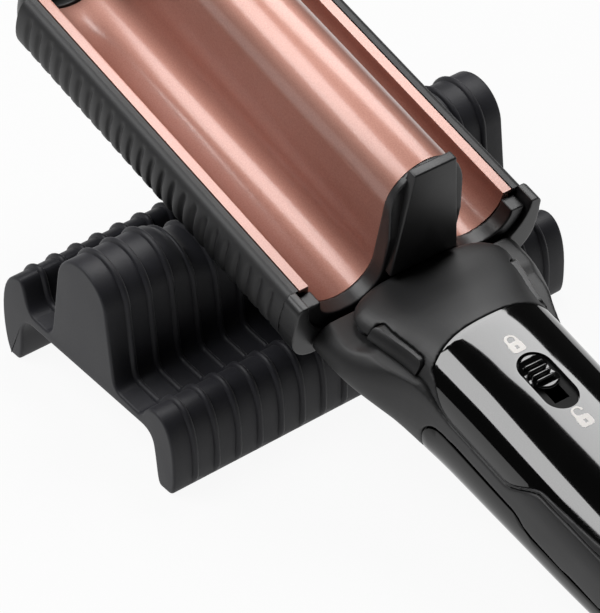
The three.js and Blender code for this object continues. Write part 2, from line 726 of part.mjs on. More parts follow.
function slotOutline(x0, length, width) {
  const r = width / 2;
  const points = [];
  for (let i = 0; i <= 10; i += 1) {
    const angle = -Math.PI / 2 + Math.PI * i / 10;
    points.push([x0 + length - r + r * Math.cos(angle), r * Math.sin(angle)]);
  }
  for (let i = 0; i <= 10; i += 1) {
    const angle = Math.PI / 2 + Math.PI * i / 10;
    points.push([x0 + r + r * Math.cos(angle), r * Math.sin(angle)]);
  }
  return points;
}

const stemFront = LOCK_X - STEM_LENGTH / 2;
const lockFloorZ = crownZ(recessCentreX) - RECESS_DEPTH;
const hookTop = lockFloorZ - 1.4;
const hookBottom = splitZ(LOCK_X) - ARM_GAP - DECK - 3.6;

function lockSlotCuts() {
  const clear = 0.5;
  const slotX0 = stemFront - clear;
  const slotX1 = stemFront + STEM_LENGTH + LOCK_TRAVEL + clear;
  const half = STEM_WIDTH / 2 + clear;
  return [
    toSolid(prismZ(slotOutline(RECESS_FRONT, RECESS_LENGTH, RECESS_WIDTH), lockFloorZ, 30)),
    toSolid(block(slotX0, slotX1, -half, half, -40, 30)),
  ];
}

const screwY = 0;

function screwBoss(x, z0, z1) {
  return toSolid(rodZ(x, screwY, SCREW_SHANK_RADIUS + 2.2, z0, z1, 16));
}

function upperScrewBores() {
  return SCREW_X.flatMap((x) => {
    const z = splitZ(x);
    return [
      toSolid(rodZ(x, screwY, SCREW_HEAD_RADIUS + SEAT_GAP, z - 2, z + SCREW_HEAD + SEAT_GAP, 16)),
      toSolid(rodZ(x, screwY, SCREW_SHANK_RADIUS + SEAT_GAP, z - 2, z + SCREW_LENGTH + 0.8, 16)),
    ];
  });
}

const flangeTop = (x) => crownZ(x) - SHELL_WALL;

function buttonBores() {
  const buttons = SET_BUTTON_X.map((x) => [x, SET_BUTTON_RADIUS]);
  buttons.push([POWER_BUTTON_X, POWER_BUTTON_RADIUS]);
  return buttons.flatMap(([x, radius]) => [
    toSolid(rodZ(x, 0, radius + BUTTON_CLEARANCE, flangeTop(x), 20, 20)),
    toSolid(rodZ(x, 0, radius + BUTTON_FLANGE + BUTTON_CLEARANCE, flangeTop(x) - 4, flangeTop(x) + SEAT_GAP, 20)),
  ]);
}

function lensSlot(grow) {
  const z = crownZ(LENS_X);
  return toSolid(block(LENS_X - LENS_LENGTH / 2 - grow, LENS_X + LENS_LENGTH / 2 + grow,
    -LENS_WIDTH / 2 - grow, LENS_WIDTH / 2 + grow, z - 4, z + 3));
}

function upperArm() {
  const whole = upperForm(0);
  const hollow = upperForm(SHELL_WALL);
  const notch = knuckleRoom(KNUCKLE_RADIUS + SWING_GAP, -KNUCKLE_HALF_WIDTH - SEAT_GAP,
    KNUCKLE_HALF_WIDTH + SEAT_GAP);
  const earHalf = HANDLE_END_HALF_WIDTH - 0.4;
  const ears = [1, -1].map((side) => {
    const [a, b] = [side * (KNUCKLE_HALF_WIDTH + SEAT_GAP), side * earHalf];
    return toSolid(rodY(HINGE_X, hingeZ, KNUCKLE_RADIUS, Math.min(a, b), Math.max(a, b), 24));
  });
  const behind = toSolid(block(HINGE_X - 0.01, HINGE_X + 30, -40, 40, -40, 40));
  const region = coverRegion(0);
  const bossFoot = (x) => Math.max(splitZ(x - 4), splitZ(x + 4)) + DECK + SEAT_GAP;
  const bosses = joined(SCREW_X.map((x) => screwBoss(x, bossFoot(x), crownZ(x) - 1)));
  const slots = lockSlotCuts();
  const tabRooms = [1, -1].map((side) => tabSolid(side, 0.4));

  const frameShell = cut(whole.subtract(coverRegion(ARM_GAP)), [hollow, behind]);
  const frame = cut(joined([frameShell, ...ears]),
    [notch, pinBore(), slots[1], ...tabRooms, ...upperScrewBores()]);

  const earRoom = toSolid(rodY(HINGE_X, hingeZ, KNUCKLE_RADIUS + SEAT_GAP, -earHalf - 1, earHalf + 1, 24));
  const coverShell = cut(whole.intersect(region), [hollow]).add(bosses);
  const cover = cut(coverShell, [notch, earRoom, ...slots, ...upperScrewBores(), ...buttonBores(),
    lensSlot(0.25)]);
  return [
    piece("upper_frame", "mattePolymer", fromSolid(largest(frame))),
    piece("upper_cover", "glossPolymer", fromSolid(largest(cover))),
  ];
}

// A cut can leave slivers: the piece is the biggest body
function largest(solid) {
  const parts = solid.decompose();
  return parts.reduce((best, next) => (next.volume() > best.volume() ? next : best));
}

// A guide tab lies in a pocket in the neck's side and follows its round
function tabSolid(side, grow) {
  const foot = splitZ(TAB_FRONT) - (grow ? 3 : 0);
  const top = splitZ(TAB_FRONT) + TAB_HEIGHT + grow;
  const x0 = TAB_FRONT - grow;
  const x1 = TAB_FRONT + TAB_LENGTH + grow;
  const shape = [[x0, foot], [x1, foot], [x1, top - 1.8], [x1 - 1.4, top], [x0 + 1.2, top], [x0, top - 1]];
  const slab = toSolid(prismY(shape, side > 0 ? 13 : -40, side > 0 ? 40 : -13));
  const stations = [x0 - 1, x0 + 5, x1 - 4, x1 + 1];
  const behind = upperOval(TAB_DEPTH + grow, stations, 20);
  if (grow) return slab.subtract(behind);
  return slab.subtract(behind).intersect(upperOval(-TAB_PROUD, stations, 20));
}

function guideTabs() {
  return [["left", -1], ["right", 1]].map(([hand, side]) => {
    return piece(`guide_tab_${hand}`, "mattePolymer", fromSolid(largest(tabSolid(side, 0))));
  });
}

function bumpers() {
  return [["left", -1], ["right", 1]].map(([hand, side]) => {
    const z0 = lowerTopZ(BUMPER_X) + SEAT_GAP;
    const z1 = splitZ(BUMPER_X) - 0.25;
    const y = side * (NECK_HALF_WIDTH - BUMPER_RADIUS - 1.2);
    return piece(`stop_bumper_${hand}`, "silicone", rodZ(BUMPER_X, y, BUMPER_RADIUS, z0, z1, 20));
  });
}

// Upper edge of the lower gloss cover, seen from the side
function lowerCoverEdge(x) {
  return -LOWER_COVER_TOP - LOWER_COVER_STEP * smooth((x - STEP_START - 5) / (STEP_LENGTH - 4))
    + 3 * smooth((x - 100) / 40);
}

function lowerCoverRegion(grow) {
  const front = LOWER_COVER_FRONT - grow;
  const edge = [front + 8.4, 70, 72, 74, 77, 99, 110, 120, 130, 139]
    .map((x) => [x, lowerCoverEdge(x) + grow]);
  const level = edge[0][1];
  const round = [[front, -60], [front, level - 6.4], [front + 0.6, level - 4.4], [front + 2, level - 2.6],
    [front + 4.6, level - 1]];
  const rear = HINGE_X - 6 + grow;
  const side = [[rear, -60], [rear, edge.at(-1)[1]], ...edge.slice().reverse(), ...round.slice().reverse()];
  return toSolid(prismY(side.reverse(), -50, 50));
}

function lowerArm() {
  const whole = lowerForm(0);
  const hollow = lowerForm(SHELL_WALL);
  const earRooms = [1, -1].map((side) => {
    const [a, b] = [side * KNUCKLE_HALF_WIDTH, side * 40];
    return knuckleRoom(KNUCKLE_RADIUS + SWING_GAP, Math.min(a, b), Math.max(a, b));
  });
  const knuckle = toSolid(rodY(HINGE_X, hingeZ, KNUCKLE_RADIUS, -KNUCKLE_HALF_WIDTH, KNUCKLE_HALF_WIDTH, 24));
  const foot = toSolid(block(HINGE_X - KNUCKLE_RADIUS + 1, HINGE_X + KNUCKLE_RADIUS + 4,
    -KNUCKLE_HALF_WIDTH, KNUCKLE_HALF_WIDTH, restBottom + 6, hingeZ));
  const springHalf = SPRING_TURNS * SPRING_WIRE_RADIUS * 2.3 / 2 + 1.2;
  const springRoom = [
    knuckleRoom(SPRING_COIL_RADIUS + 1.1, -springHalf, springHalf),
    toSolid(block(HINGE_X - 14, HINGE_X, -springHalf, springHalf, hingeZ - SPRING_COIL_RADIUS - 1.4, hingeZ + 20)),
  ];
  const region = lowerCoverRegion(0);
  const frameShell = cut(whole.subtract(lowerCoverRegion(ARM_GAP)), [hollow, ...earRooms]);
  const hookRoomX0 = stemFront - HOOK_REACH - 0.9;
  const hookRoomX1 = stemFront + STEM_LENGTH + LOCK_TRAVEL + 0.9;
  const half = STEM_WIDTH / 2 + 0.6;
  const hookRoom = toSolid(block(hookRoomX0, hookRoomX1, -half, half, -30, 10));
  const glandRoom = glandSolid(SEAT_GAP + 0.1);
  const frame = cut(joined([frameShell, knuckle, foot]),
    [pinBore(), ...springRoom, hookRoom, glandRoom, ...lowerScrewBores()]);
  const bosses = joined(SCREW_X.map((x) => screwBoss(x, bottomZ(x) + 1, lowerTopZ(x + 4) - DECK - SEAT_GAP)));
  const coverShell = cut(whole.intersect(region), [hollow]).add(bosses);
  const cover = cut(coverShell, [...lowerScrewBores(), ...earRooms]);
  return [
    piece("lower_frame", "mattePolymer", fromSolid(largest(frame))),
    piece("lower_cover", "glossPolymer", fromSolid(largest(cover))),
  ];
}

function lowerScrewBores() {
  return SCREW_X.flatMap((x) => {
    const z = lowerTopZ(x);
    return [
      toSolid(rodZ(x, screwY, SCREW_HEAD_RADIUS + SEAT_GAP, z - SCREW_HEAD - SEAT_GAP, z + 2, 16)),
      toSolid(rodZ(x, screwY, SCREW_SHANK_RADIUS + SEAT_GAP, z - SCREW_LENGTH - 0.8, z + 2, 16)),
    ];
  });
}

function screw(name, x, faceZ, up) {
  const head = toSolid(rodZ(x, screwY, SCREW_HEAD_RADIUS, 0, SCREW_HEAD, 16));
  const shank = toSolid(rodZ(x, screwY, SCREW_SHANK_RADIUS, SCREW_HEAD / 2, SCREW_LENGTH, 12));
  const geometry = fromSolid(head.add(shank));
  if (!up) geometry.rotateX(Math.PI);
  return piece(name, "steel", geometry.translate(0, 0, faceZ));
}

// Hinge parts

function hingePin() {
  return piece("hinge_pin", "steel", rodY(HINGE_X, hingeZ, PIN_RADIUS, -PIN_HALF_LENGTH, PIN_HALF_LENGTH, 16));
}

// Torsion spring: a leg, the coil round the pin and a second leg, as one unbroken wire
function openingSpring() {
  const pitch = SPRING_WIRE_RADIUS * 2.3;
  const points = [];
  const width = SPRING_TURNS * pitch;
  const stepsPerTurn = 9;
  points.push(new THREE.Vector3(HINGE_X - SPRING_LEG, -width / 2, hingeZ - SPRING_COIL_RADIUS));
  const total = (SPRING_TURNS + 0.5) * stepsPerTurn;
  for (let i = 0; i <= total; i += 1) {
    const angle = -Math.PI / 2 + 2 * Math.PI * i / stepsPerTurn;
    const y = -width / 2 + width * i / total;
    points.push(new THREE.Vector3(HINGE_X + SPRING_COIL_RADIUS * Math.cos(angle), y,
      hingeZ + SPRING_COIL_RADIUS * Math.sin(angle)));
  }
  points.push(new THREE.Vector3(HINGE_X - SPRING_LEG, width / 2, hingeZ + SPRING_COIL_RADIUS));
  const sides = 5;
  const sections = points.map((p, i) => {
    const before = points[Math.max(0, i - 1)];
    const after = points[Math.min(points.length - 1, i + 1)];
    const tangent = after.clone().sub(before).normalize();
    const across = new THREE.Vector3(0, 1, 0).cross(tangent).normalize();
    const other = tangent.clone().cross(across);
    return Array.from({ length: sides }, (_, k) => {
      const a = 2 * Math.PI * k / sides;
      return p.clone().addScaledVector(across, SPRING_WIRE_RADIUS * Math.cos(a))
        .addScaledVector(other, SPRING_WIRE_RADIUS * Math.sin(a));
    });
  });
  return piece("opening_spring", "steel", loftUp(sections));
}

// Swivel gland for the cord, at the centre of the rear block
const glandZ = (restBottom + hingeZ + KNUCKLE_RADIUS) / 2 + 0.8;
const glandFace = REAR_BLOCK_END;

function glandSolid(grow) {
  const r0 = GLAND_NECK_RADIUS + grow;
  const r1 = GLAND_RADIUS + grow;
  const profile = [
    [0, glandFace - 8 - grow],
    [GLAND_RADIUS - 1.2 + grow, glandFace - 8 - grow],
    [GLAND_RADIUS - 1.2 + grow, glandFace - 5 + grow],
    [r0, glandFace - 5 + grow],
    [r0, glandFace + (grow ? 4 : SEAT_GAP)],
  ];
  if (grow) {
    profile.push([0, glandFace + 4]);
  } else {
    profile.push([r1, glandFace + SEAT_GAP], [r1, glandFace + GLAND_LENGTH - 3],
      [r1 - 1.6, glandFace + GLAND_LENGTH], [GLAND_BORE_RADIUS, glandFace + GLAND_LENGTH],
      [GLAND_BORE_RADIUS, glandFace + GLAND_LENGTH - GLAND_BORE_DEPTH],
      [0, glandFace + GLAND_LENGTH - GLAND_BORE_DEPTH]);
  }
  const lathe = new THREE.LatheGeometry(profile.map(([r, x]) => new THREE.Vector2(r, x)), 18);
  return toSolid(lathe.rotateZ(-Math.PI / 2).translate(0, 0, glandZ));
}

function swivelGland() {
  return piece("swivel_gland", "mattePolymer", fromSolid(glandSolid(0)));
}

// Lock

function lockSlide() {
  const top = crownZ(LOCK_X) + 0.5;
  const base = lockFloorZ + SEAT_GAP;
  const thumb = toSolid(prismZ(slotOutline(LOCK_X - LOCK_LENGTH / 2, LOCK_LENGTH, LOCK_WIDTH - 0.02), base, top));
  const ridgePitch = (LOCK_LENGTH - 2) / (LOCK_RIDGES - 1);
  const ridges = Array.from({ length: LOCK_RIDGES }, (_, i) => {
    const x = LOCK_X - LOCK_LENGTH / 2 + 1 + i * ridgePitch;
    const reach = LOCK_WIDTH / 2 - 1.1;
    const wedge = [[x - 0.42, top - 0.2], [x + 0.42, top - 0.2], [x + 0.16, top + 0.55], [x - 0.16, top + 0.55]];
    return toSolid(prismY(wedge, -reach, reach));
  });
  const stem = toSolid(block(stemFront, stemFront + STEM_LENGTH, -STEM_WIDTH / 2, STEM_WIDTH / 2,
    hookTop + SEAT_GAP, base + 0.5));
  return piece("lock_slide", "capPolymer", fromSolid(joined([thumb, ...ridges, stem])));
}

function latchHook() {
  const y = STEM_WIDTH / 2;
  const bar = [
    [stemFront, hookTop],
    [stemFront, hookBottom + 2.2],
    [stemFront - HOOK_REACH + 1.4, hookBottom + 2.2],
    [stemFront - HOOK_REACH + 1.4, hookBottom + 1.0],
    [stemFront - 0.4, hookBottom],
    [stemFront + STEM_LENGTH, hookBottom],
    [stemFront + STEM_LENGTH, hookTop],
  ];
  return piece("latch_hook", "steel", prismY(bar, -y, y));
}

function catchPlate() {
  const z1 = lowerTopZ(LOCK_X) - DECK - SEAT_GAP;
  const x1 = stemFront - HOOK_REACH - 0.9;
  return piece("catch_plate", "steel", block(x1 - 6, x1, -6, 6, z1 - 1.2, z1));
}

// Controls and boards

function button(name, x, radius) {
  const top = crownZ(x) + BUTTON_PROUD;
  const dome = radius > 4 ? 0.9 : 0.7;
  const ceiling = flangeTop(x);
  const base = ceiling - BUTTON_FLANGE_THICKNESS;
  const profile = [
    [0, base],
    [radius + BUTTON_FLANGE, base],
    [radius + BUTTON_FLANGE, ceiling],
    [radius, ceiling],
    [radius, top - dome],
    [radius * 0.8, top - dome * 0.3],
    [radius * 0.5, top],
    [0, top - 0.05],
  ].map(([r, z]) => new THREE.Vector2(r, z));
  const lathe = new THREE.LatheGeometry(profile, 20).rotateX(Math.PI / 2);
  return piece(name, "capPolymer", fromSolid(toSolid(lathe)).translate(x, 0, 0));
}

function indicatorLens() {
  const whole = upperForm(0);
  const lens = whole.intersect(toSolid(block(LENS_X - LENS_LENGTH / 2, LENS_X + LENS_LENGTH / 2,
    -LENS_WIDTH / 2, LENS_WIDTH / 2, crownZ(LENS_X) - 2.6, crownZ(LENS_X) + 3)));
  return piece("indicator_lens", "lens", fromSolid(lens));
}

function controlBoard() {
  const top = flangeTop(POWER_BUTTON_X) - BUTTON_FLANGE_THICKNESS - BUTTON_TRAVEL - 0.25;
  return piece("control_board", "board", block(...BOARD_ENDS, -BOARD_HALF_WIDTH, BOARD_HALF_WIDTH,
    top - BOARD_THICKNESS, top));
}

function powerBoard() {
  const z = lowerTopZ(100) - DECK - 2.2;
  const body = toSolid(block(86, 114, -10, 10, z - 1.4, z));
  const part = toSolid(block(92, 106, -7, 7, z - 7.4, z - 1.3));
  return piece("power_board", "board", fromSolid(body.add(part)));
}

// Rest

// The rest's side outline, from the crest down over the heel-side leg, under the slab and back
function restOutline() {
  const span = REST_HALF_SPAN;
  const slab = REST_SLAB_TOP;
  const under = REST_SLAB_UNDER;
  const centreZ = TALL_HUMP_TOP - TALL_HUMP_RADIUS;
  const path = new THREE.Path();
  path.moveTo(TALL_HUMP_X, TALL_HUMP_TOP);
  path.absarc(TALL_HUMP_X, centreZ, TALL_HUMP_RADIUS, Math.PI / 2, 0.2, true);
  path.lineTo(TALL_HUMP_X + 12.4, slab + 4);
  path.quadraticCurveTo(TALL_HUMP_X + 12.9, slab, TALL_HUMP_X + 16, slab);
  path.lineTo(span - 14.6, slab - 0.4);
  path.bezierCurveTo(span - 12, slab - 0.2, span - 12.6, HEEL_HUMP_TOP - 0.4, span - 7.6, HEEL_HUMP_TOP);
  path.bezierCurveTo(span - 3.4, HEEL_HUMP_TOP, span - 0.4, slab - 0.5, span - 0.2, 8);
  path.bezierCurveTo(span, 3, span - 0.4, 0, span - 2.6, 0);
  path.lineTo(span - 6.2, 0);
  path.bezierCurveTo(span - 7.6, 0, span - 7.2, 5, span - 8.6, 11.4);
  path.quadraticCurveTo(span - 9.4, under, span - 13.4, under);
  path.lineTo(-span + 12.6, under);
  path.quadraticCurveTo(-span + 9, under, -span + 8.2, 10);
  path.bezierCurveTo(-span + 7.8, 4, -span + 7.6, 0, -span + 6.4, 0);
  path.lineTo(-span + 3, 0);
  path.bezierCurveTo(-span + 1.2, 1.2, -span, 8, -span, 13);
  path.bezierCurveTo(-span, slab + 4, -span + 3, TIP_HUMP_TOP - 1, -span + 7.6, TIP_HUMP_TOP);
  path.bezierCurveTo(-span + 10.4, TIP_HUMP_TOP, -span + 9.4, slab + 0.4, -span + 14, slab + 0.2);
  path.lineTo(TALL_HUMP_X - 15.6, slab);
  path.quadraticCurveTo(TALL_HUMP_X - 12.9, slab, TALL_HUMP_X - 12.4, slab + 4);
  path.lineTo(TALL_HUMP_X - TALL_HUMP_RADIUS * Math.cos(0.2), centreZ + TALL_HUMP_RADIUS * Math.sin(0.2));
  path.absarc(TALL_HUMP_X, centreZ, TALL_HUMP_RADIUS, Math.PI - 0.2, Math.PI / 2, true);
  return sampled(path, [3, 1, 1, 1, 3, 2, 2, 1, 2, 1, 1, 1, 2, 1, 2, 3, 3, 1, 1, 1, 3]).slice(0, -1);
}

function beaded(points) {
  const count = points.length;
  return points.map(([x, z], i) => {
    const before = points[(i + count - 1) % count];
    const after = points[(i + 1) % count];
    const tangent = new THREE.Vector2(after[0] - before[0], after[1] - before[1]).normalize();
    const outside = Math.abs(x) > REST_HALF_SPAN - 4.2 || z > REST_SLAB_UNDER + 1.5;
    const rise = outside ? BEAD_HEIGHT * smooth((z - 0.5) / 4) : 0;
    return [x - tangent.y * rise, z + tangent.x * rise];
  });
}

// The tall hump is lower in the middle, so that the tray lies in a cradle
function cradled(y, x, z) {
  const slabTop = REST_SLAB_TOP + 2;
  const onHump = Math.abs(x - TALL_HUMP_X) < 13 && z > slabTop;
  if (!onHump) return z;
  const share = 1 - smooth((Math.abs(y) - CRADLE_HALF_WIDTH) / CRADLE_RISE);
  return z - CRADLE_DEPTH * share * (z - slabTop) / (TALL_HUMP_TOP - slabTop);
}

function restStand() {
  const plain = restOutline();
  const raised = beaded(plain);
  const at = (y, points) => points.map(([x, z]) => new THREE.Vector3(x, y, cradled(y, x, z)));
  const sections = [at(-REST_WIDTH / 2, plain)];
  for (let i = 0; i < BEAD_COUNT; i += 1) {
    const y = (i - (BEAD_COUNT - 1) / 2) * BEAD_PITCH;
    sections.push(at(y - BEAD_WIDTH / 2, plain), at(y, raised), at(y + BEAD_WIDTH / 2, plain));
  }
  sections.push(at(REST_WIDTH / 2, plain));
  return piece("rest_stand", "silicone", loft(sections.map((section) => section.slice().reverse()).reverse()));
}

// Assembly

const waver = new THREE.Group();
waver.add(
  upperOuterPlate(),
  upperHeaterFilm(),
  upperInnerPlate(),
  upperHeelCap(),
  upperTipCap(),
  ...upperArm(),
  lockSlide(),
  latchHook(),
  button("minus_button", SET_BUTTON_X[0], SET_BUTTON_RADIUS),
  button("plus_button", SET_BUTTON_X[1], SET_BUTTON_RADIUS),
  button("power_button", POWER_BUTTON_X, POWER_BUTTON_RADIUS),
  indicatorLens(),
  controlBoard(),
  ...SCREW_X.map((x, i) => screw(`upper_screw_${i + 1}`, x, splitZ(x) + 0.1, true)),
  trayHousing(),
  lowerPlate(),
  lowerHeelCap(),
  lowerTipCap(),
  heaterCarrier(),
  lowerHeater(),
  thermalFuse(),
  ...lowerArm(),
  ...guideTabs(),
  ...bumpers(),
  catchPlate(),
  powerBoard(),
  ...SCREW_X.map((x, i) => screw(`lower_screw_${i + 1}`, x, lowerTopZ(x) - 0.1, false)),
  hingePin(),
  openingSpring(),
  swivelGland(),
);
waver.rotation.y = TILT;
waver.position.set(HEEL_PAST_REST, WAVER_ASIDE, heelHeight);

const rest = restStand();
rest.geometry.rotateZ(REST_TURN);

const group = new THREE.Group();
group.add(waver, rest);
group.updateMatrixWorld(true);
const bounds = new THREE.Box3().setFromObject(group);
group.position.x = -(bounds.min.x + bounds.max.x) / 2;

export default group;
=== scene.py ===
"""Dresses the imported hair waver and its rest: fine meshes, finishes, soft studio light and camera.

Every sub-assembly is a class. Its sizes are in millimetres in the waver's own level frame, with X
along the handle from the heel of the jaw, and ship() puts the finished mesh in its place in metres.
"""

import json
import logging
import math
from collections.abc import Callable, Iterator
from contextlib import contextmanager
from dataclasses import dataclass, field
from enum import Enum

import bmesh
import bpy
from mathutils import Matrix, Vector


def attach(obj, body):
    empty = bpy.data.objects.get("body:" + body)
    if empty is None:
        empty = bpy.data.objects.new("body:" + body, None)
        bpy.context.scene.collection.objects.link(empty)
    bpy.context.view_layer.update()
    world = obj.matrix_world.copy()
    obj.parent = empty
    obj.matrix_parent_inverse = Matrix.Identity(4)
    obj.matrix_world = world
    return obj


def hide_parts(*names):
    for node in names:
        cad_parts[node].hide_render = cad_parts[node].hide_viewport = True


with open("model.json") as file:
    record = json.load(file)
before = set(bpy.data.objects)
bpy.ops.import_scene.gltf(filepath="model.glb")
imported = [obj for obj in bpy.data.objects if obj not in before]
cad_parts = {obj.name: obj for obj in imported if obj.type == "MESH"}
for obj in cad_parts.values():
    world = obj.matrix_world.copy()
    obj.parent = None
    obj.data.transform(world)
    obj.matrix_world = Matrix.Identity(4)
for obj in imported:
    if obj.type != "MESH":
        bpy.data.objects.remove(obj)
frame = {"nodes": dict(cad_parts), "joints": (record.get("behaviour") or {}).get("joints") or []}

logging.basicConfig(level=logging.INFO, format="%(message)s")
log = logging.getLogger("waver")

MM = 0.001
# How far the waver leans on its rest, and how far the rest is turned to it
TILT = math.radians(11.2)
REST_TURN = math.radians(1.35)
# From the middle of the rest to the heel of the jaw, in metres
HEEL_PAST_REST = (0.04365, 0.0023)
# The hinge's axis in the waver's frame, and the radii of the holes for its pin and for the screws' heads
HINGE_X, HINGE_Z = 146.0, -5.4
PIN_BORE = 2.1
SCREW_BORE = 2.8
# Clearance between moulded pieces that lie beside each other
SEAT = 0.3
# Length of the handles that make a curve a quarter of a circle with a radius of 1
KAPPA = 0.5523

Point = tuple[float, float]
Knot = tuple[Point, Point, Point]


class Body(Enum):
    """The rigid bodies that pieces ride on."""

    REST = "rest_stand"
    LOWER = "lower_arm"
    UPPER = "upper_arm"
    LOCK = "lock_slide"
    MINUS = "minus_button"
    PLUS = "plus_button"
    POWER = "power_button"
    GLAND = "swivel_gland"


class Plane(Enum):
    """The plane that a profile is drawn in."""

    ACROSS = "yz"
    SIDE = "xz"
    PLAN = "xy"


# Finishes


def linear(code: str) -> tuple[float, float, float, float]:
    """Turns an sRGB hex colour to linear.

    Args:
        code: Six hex digits after a hash.

    Returns:
        Linear red, green and blue, with an alpha of 1.
    """
    parts = [int(code[i : i + 2], 16) / 255 for i in (1, 3, 5)]
    lin = [c / 12.92 if c <= 0.04045 else ((c + 0.055) / 1.055) ** 2.4 for c in parts]
    return (lin[0], lin[1], lin[2], 1.0)


def add(tree: bpy.types.NodeTree, kind: str, inputs: dict | None = None, **settings) -> bpy.types.Node:
    """Adds one node with its settings and links.

    Args:
        tree: The node tree to add to.
        kind: Blender's name for the kind of node.
        inputs: Socket name or number to a value, or to the output socket that feeds it.
        **settings: Properties of the node itself.

    Returns:
        The new node.
    """
    made = tree.nodes.new(kind)
    for key, value in settings.items():
        setattr(made, key, value)
    for key, value in (inputs or {}).items():
        if isinstance(value, bpy.types.NodeSocket):
            tree.links.new(value, made.inputs[key])
        else:
            made.inputs[key].default_value = value
    return made


@dataclass(frozen=True)
class Finish:
    """A surface: its colour, its gloss and the grain that its making leaves."""

    name: str
    colour: str
    deep: str
    roughness: float
    metallic: float = 0.0
    ior: float = 1.5
    grain_mm: float = 0.5
    grain_height_mm: float = 0.01
    blotch_mm: float = 12.0
    gloss_spread: float = 0.06
    coat: float = 0.0
    coat_roughness: float = 0.03
    sheen: float = 0.0
    stretch: tuple[float, float, float] = (1.0, 1.0, 1.0)

    def build(self) -> bpy.types.Material:
        """Makes the material, with every pattern on Object coordinates.

        Returns:
            The material.
        """
        mat = bpy.data.materials.new(self.name)
        mat.use_nodes = True
        tree = mat.node_tree
        shader = tree.nodes["Principled BSDF"]
        for socket, value in (("Metallic", self.metallic), ("IOR", self.ior), ("Coat Weight", self.coat),
                              ("Coat Roughness", self.coat_roughness), ("Sheen Weight", self.sheen)):
            shader.inputs[socket].default_value = value
        where = add(tree, "ShaderNodeTexCoord").outputs["Object"]
        laid = add(tree, "ShaderNodeMapping", {"Vector": where, "Scale": self.stretch})
        grain = add(tree, "ShaderNodeTexNoise", {
            "Vector": laid.outputs["Vector"], "Scale": 1 / (self.grain_mm * MM), "Detail": 3.0})
        blotch = add(tree, "ShaderNodeTexNoise", {
            "Vector": where, "Scale": 1 / (self.blotch_mm * MM), "Detail": 4.0, "Roughness": 0.6})
        both = add(tree, "ShaderNodeMath", {0: grain.outputs["Fac"], 1: blotch.outputs["Fac"]},
                   operation="ADD")
        share = add(tree, "ShaderNodeMapRange", {
            "Value": both.outputs[0], "From Min": 0.65, "From Max": 1.35})
        tone = add(tree, "ShaderNodeMix", {
            "Factor": share.outputs[0], "A": linear(self.deep), "B": linear(self.colour)},
            data_type="RGBA")
        tree.links.new(tone.outputs["Result"], shader.inputs["Base Color"])
        gloss = add(tree, "ShaderNodeMapRange", {
            "Value": blotch.outputs["Fac"], "From Min": 0.3, "From Max": 0.7,
            "To Min": self.roughness - self.gloss_spread / 2,
            "To Max": self.roughness + self.gloss_spread / 2})
        tree.links.new(gloss.outputs[0], shader.inputs["Roughness"])
        relief = add(tree, "ShaderNodeBump", {
            "Height": grain.outputs["Fac"], "Distance": self.grain_height_mm * MM, "Strength": 1.0})
        tree.links.new(relief.outputs[0], shader.inputs["Normal"])
        return mat


# Aluminium under rose-gold flake lacquer: warm and even from the flakes, with a soft gloss on top. The flakes
# are drawn at 0.35 mm, coarser than real ones, so that they show
ROSE_GOLD = Finish("aluminium_lacquered_rose", "#C09285", "#A97A6C", 0.62, metallic=1.0, grain_mm=0.35,
                   grain_height_mm=0.006, blotch_mm=60.0, gloss_spread=0.04, coat=1.0, coat_roughness=0.2)
# Heat-proof polyamide, moulded against a spark-eroded tool: charcoal, dull, with a fine grain, drawn a little
# coarser than the tool's so that it shows
HOUSING = Finish("polyamide_moulded_fine", "#1F1F20", "#19191A", 0.52, grain_mm=0.35,
                 grain_height_mm=0.012)
# The same polyamide on the end caps, a shade darker and a little glossier from handling
CAP = Finish("polyamide_moulded_dark", "#1B1B1C", "#141415", 0.42, grain_mm=0.4, grain_height_mm=0.012)
# ABS, polished tool, lacquered: piano black with sharp reflections
GLOSS = Finish("abs_piano_black", "#040404", "#020202", 0.07, grain_mm=30.0, grain_height_mm=0.004,
               gloss_spread=0.02, coat=0.5)
# The same lacquer under the handle, thinner, so that it mirrors less of the table
GLOSS_UNDER = Finish("abs_piano_black_thin", "#040404", "#020202", 0.09, ior=1.25, grain_mm=30.0,
                     grain_height_mm=0.004, gloss_spread=0.02)
# Silicone rubber, moulded: dark charcoal with a cold tinge, dull, faintly velvety
SILICONE = Finish("silicone_moulded", "#1A1A21", "#141419", 0.55, ior=1.42, grain_mm=0.6,
                  grain_height_mm=0.014, sheen=0.12)
# Zinc-plated steel, drawn: pale grey with fine draw lines
STEEL = Finish("steel_zinc_plated", "#B9B9B6", "#8F9090", 0.32, metallic=1.0, grain_mm=0.3,
               grain_height_mm=0.003, stretch=(0.1, 1.0, 1.0))
# Alumina, pressed and fired: chalky off-white
ALUMINA = Finish("alumina_fired", "#E4DFD3", "#D2CCBE", 0.7, grain_mm=0.5, grain_height_mm=0.02)
# Polyimide film: amber and slick
FILM = Finish("polyimide_film", "#B06A1C", "#8E4F12", 0.3, grain_mm=2.0, grain_height_mm=0.004)
# Glass-fibre laminate under solder mask: green, half gloss
BOARD = Finish("laminate_solder_mask", "#1F5A34", "#174628", 0.4, grain_mm=0.8, grain_height_mm=0.01)
# Polycarbonate light pipe, frosted
LENS = Finish("polycarbonate_frosted", "#D8D9DC", "#C4C6CA", 0.35, ior=1.58, grain_mm=0.5,
              grain_height_mm=0.004)
# Polyamide in the lock's recess: plain black
DARK = Finish("polyamide_recess_black", "#050505", "#030303", 0.6, ior=1.3, grain_mm=0.4,
              grain_height_mm=0.006)
# Pad-printed ink: flat warm white
INK = Finish("pad_print_white", "#E6E2DE", "#D6D2CE", 0.5, grain_mm=0.3, grain_height_mm=0.002)


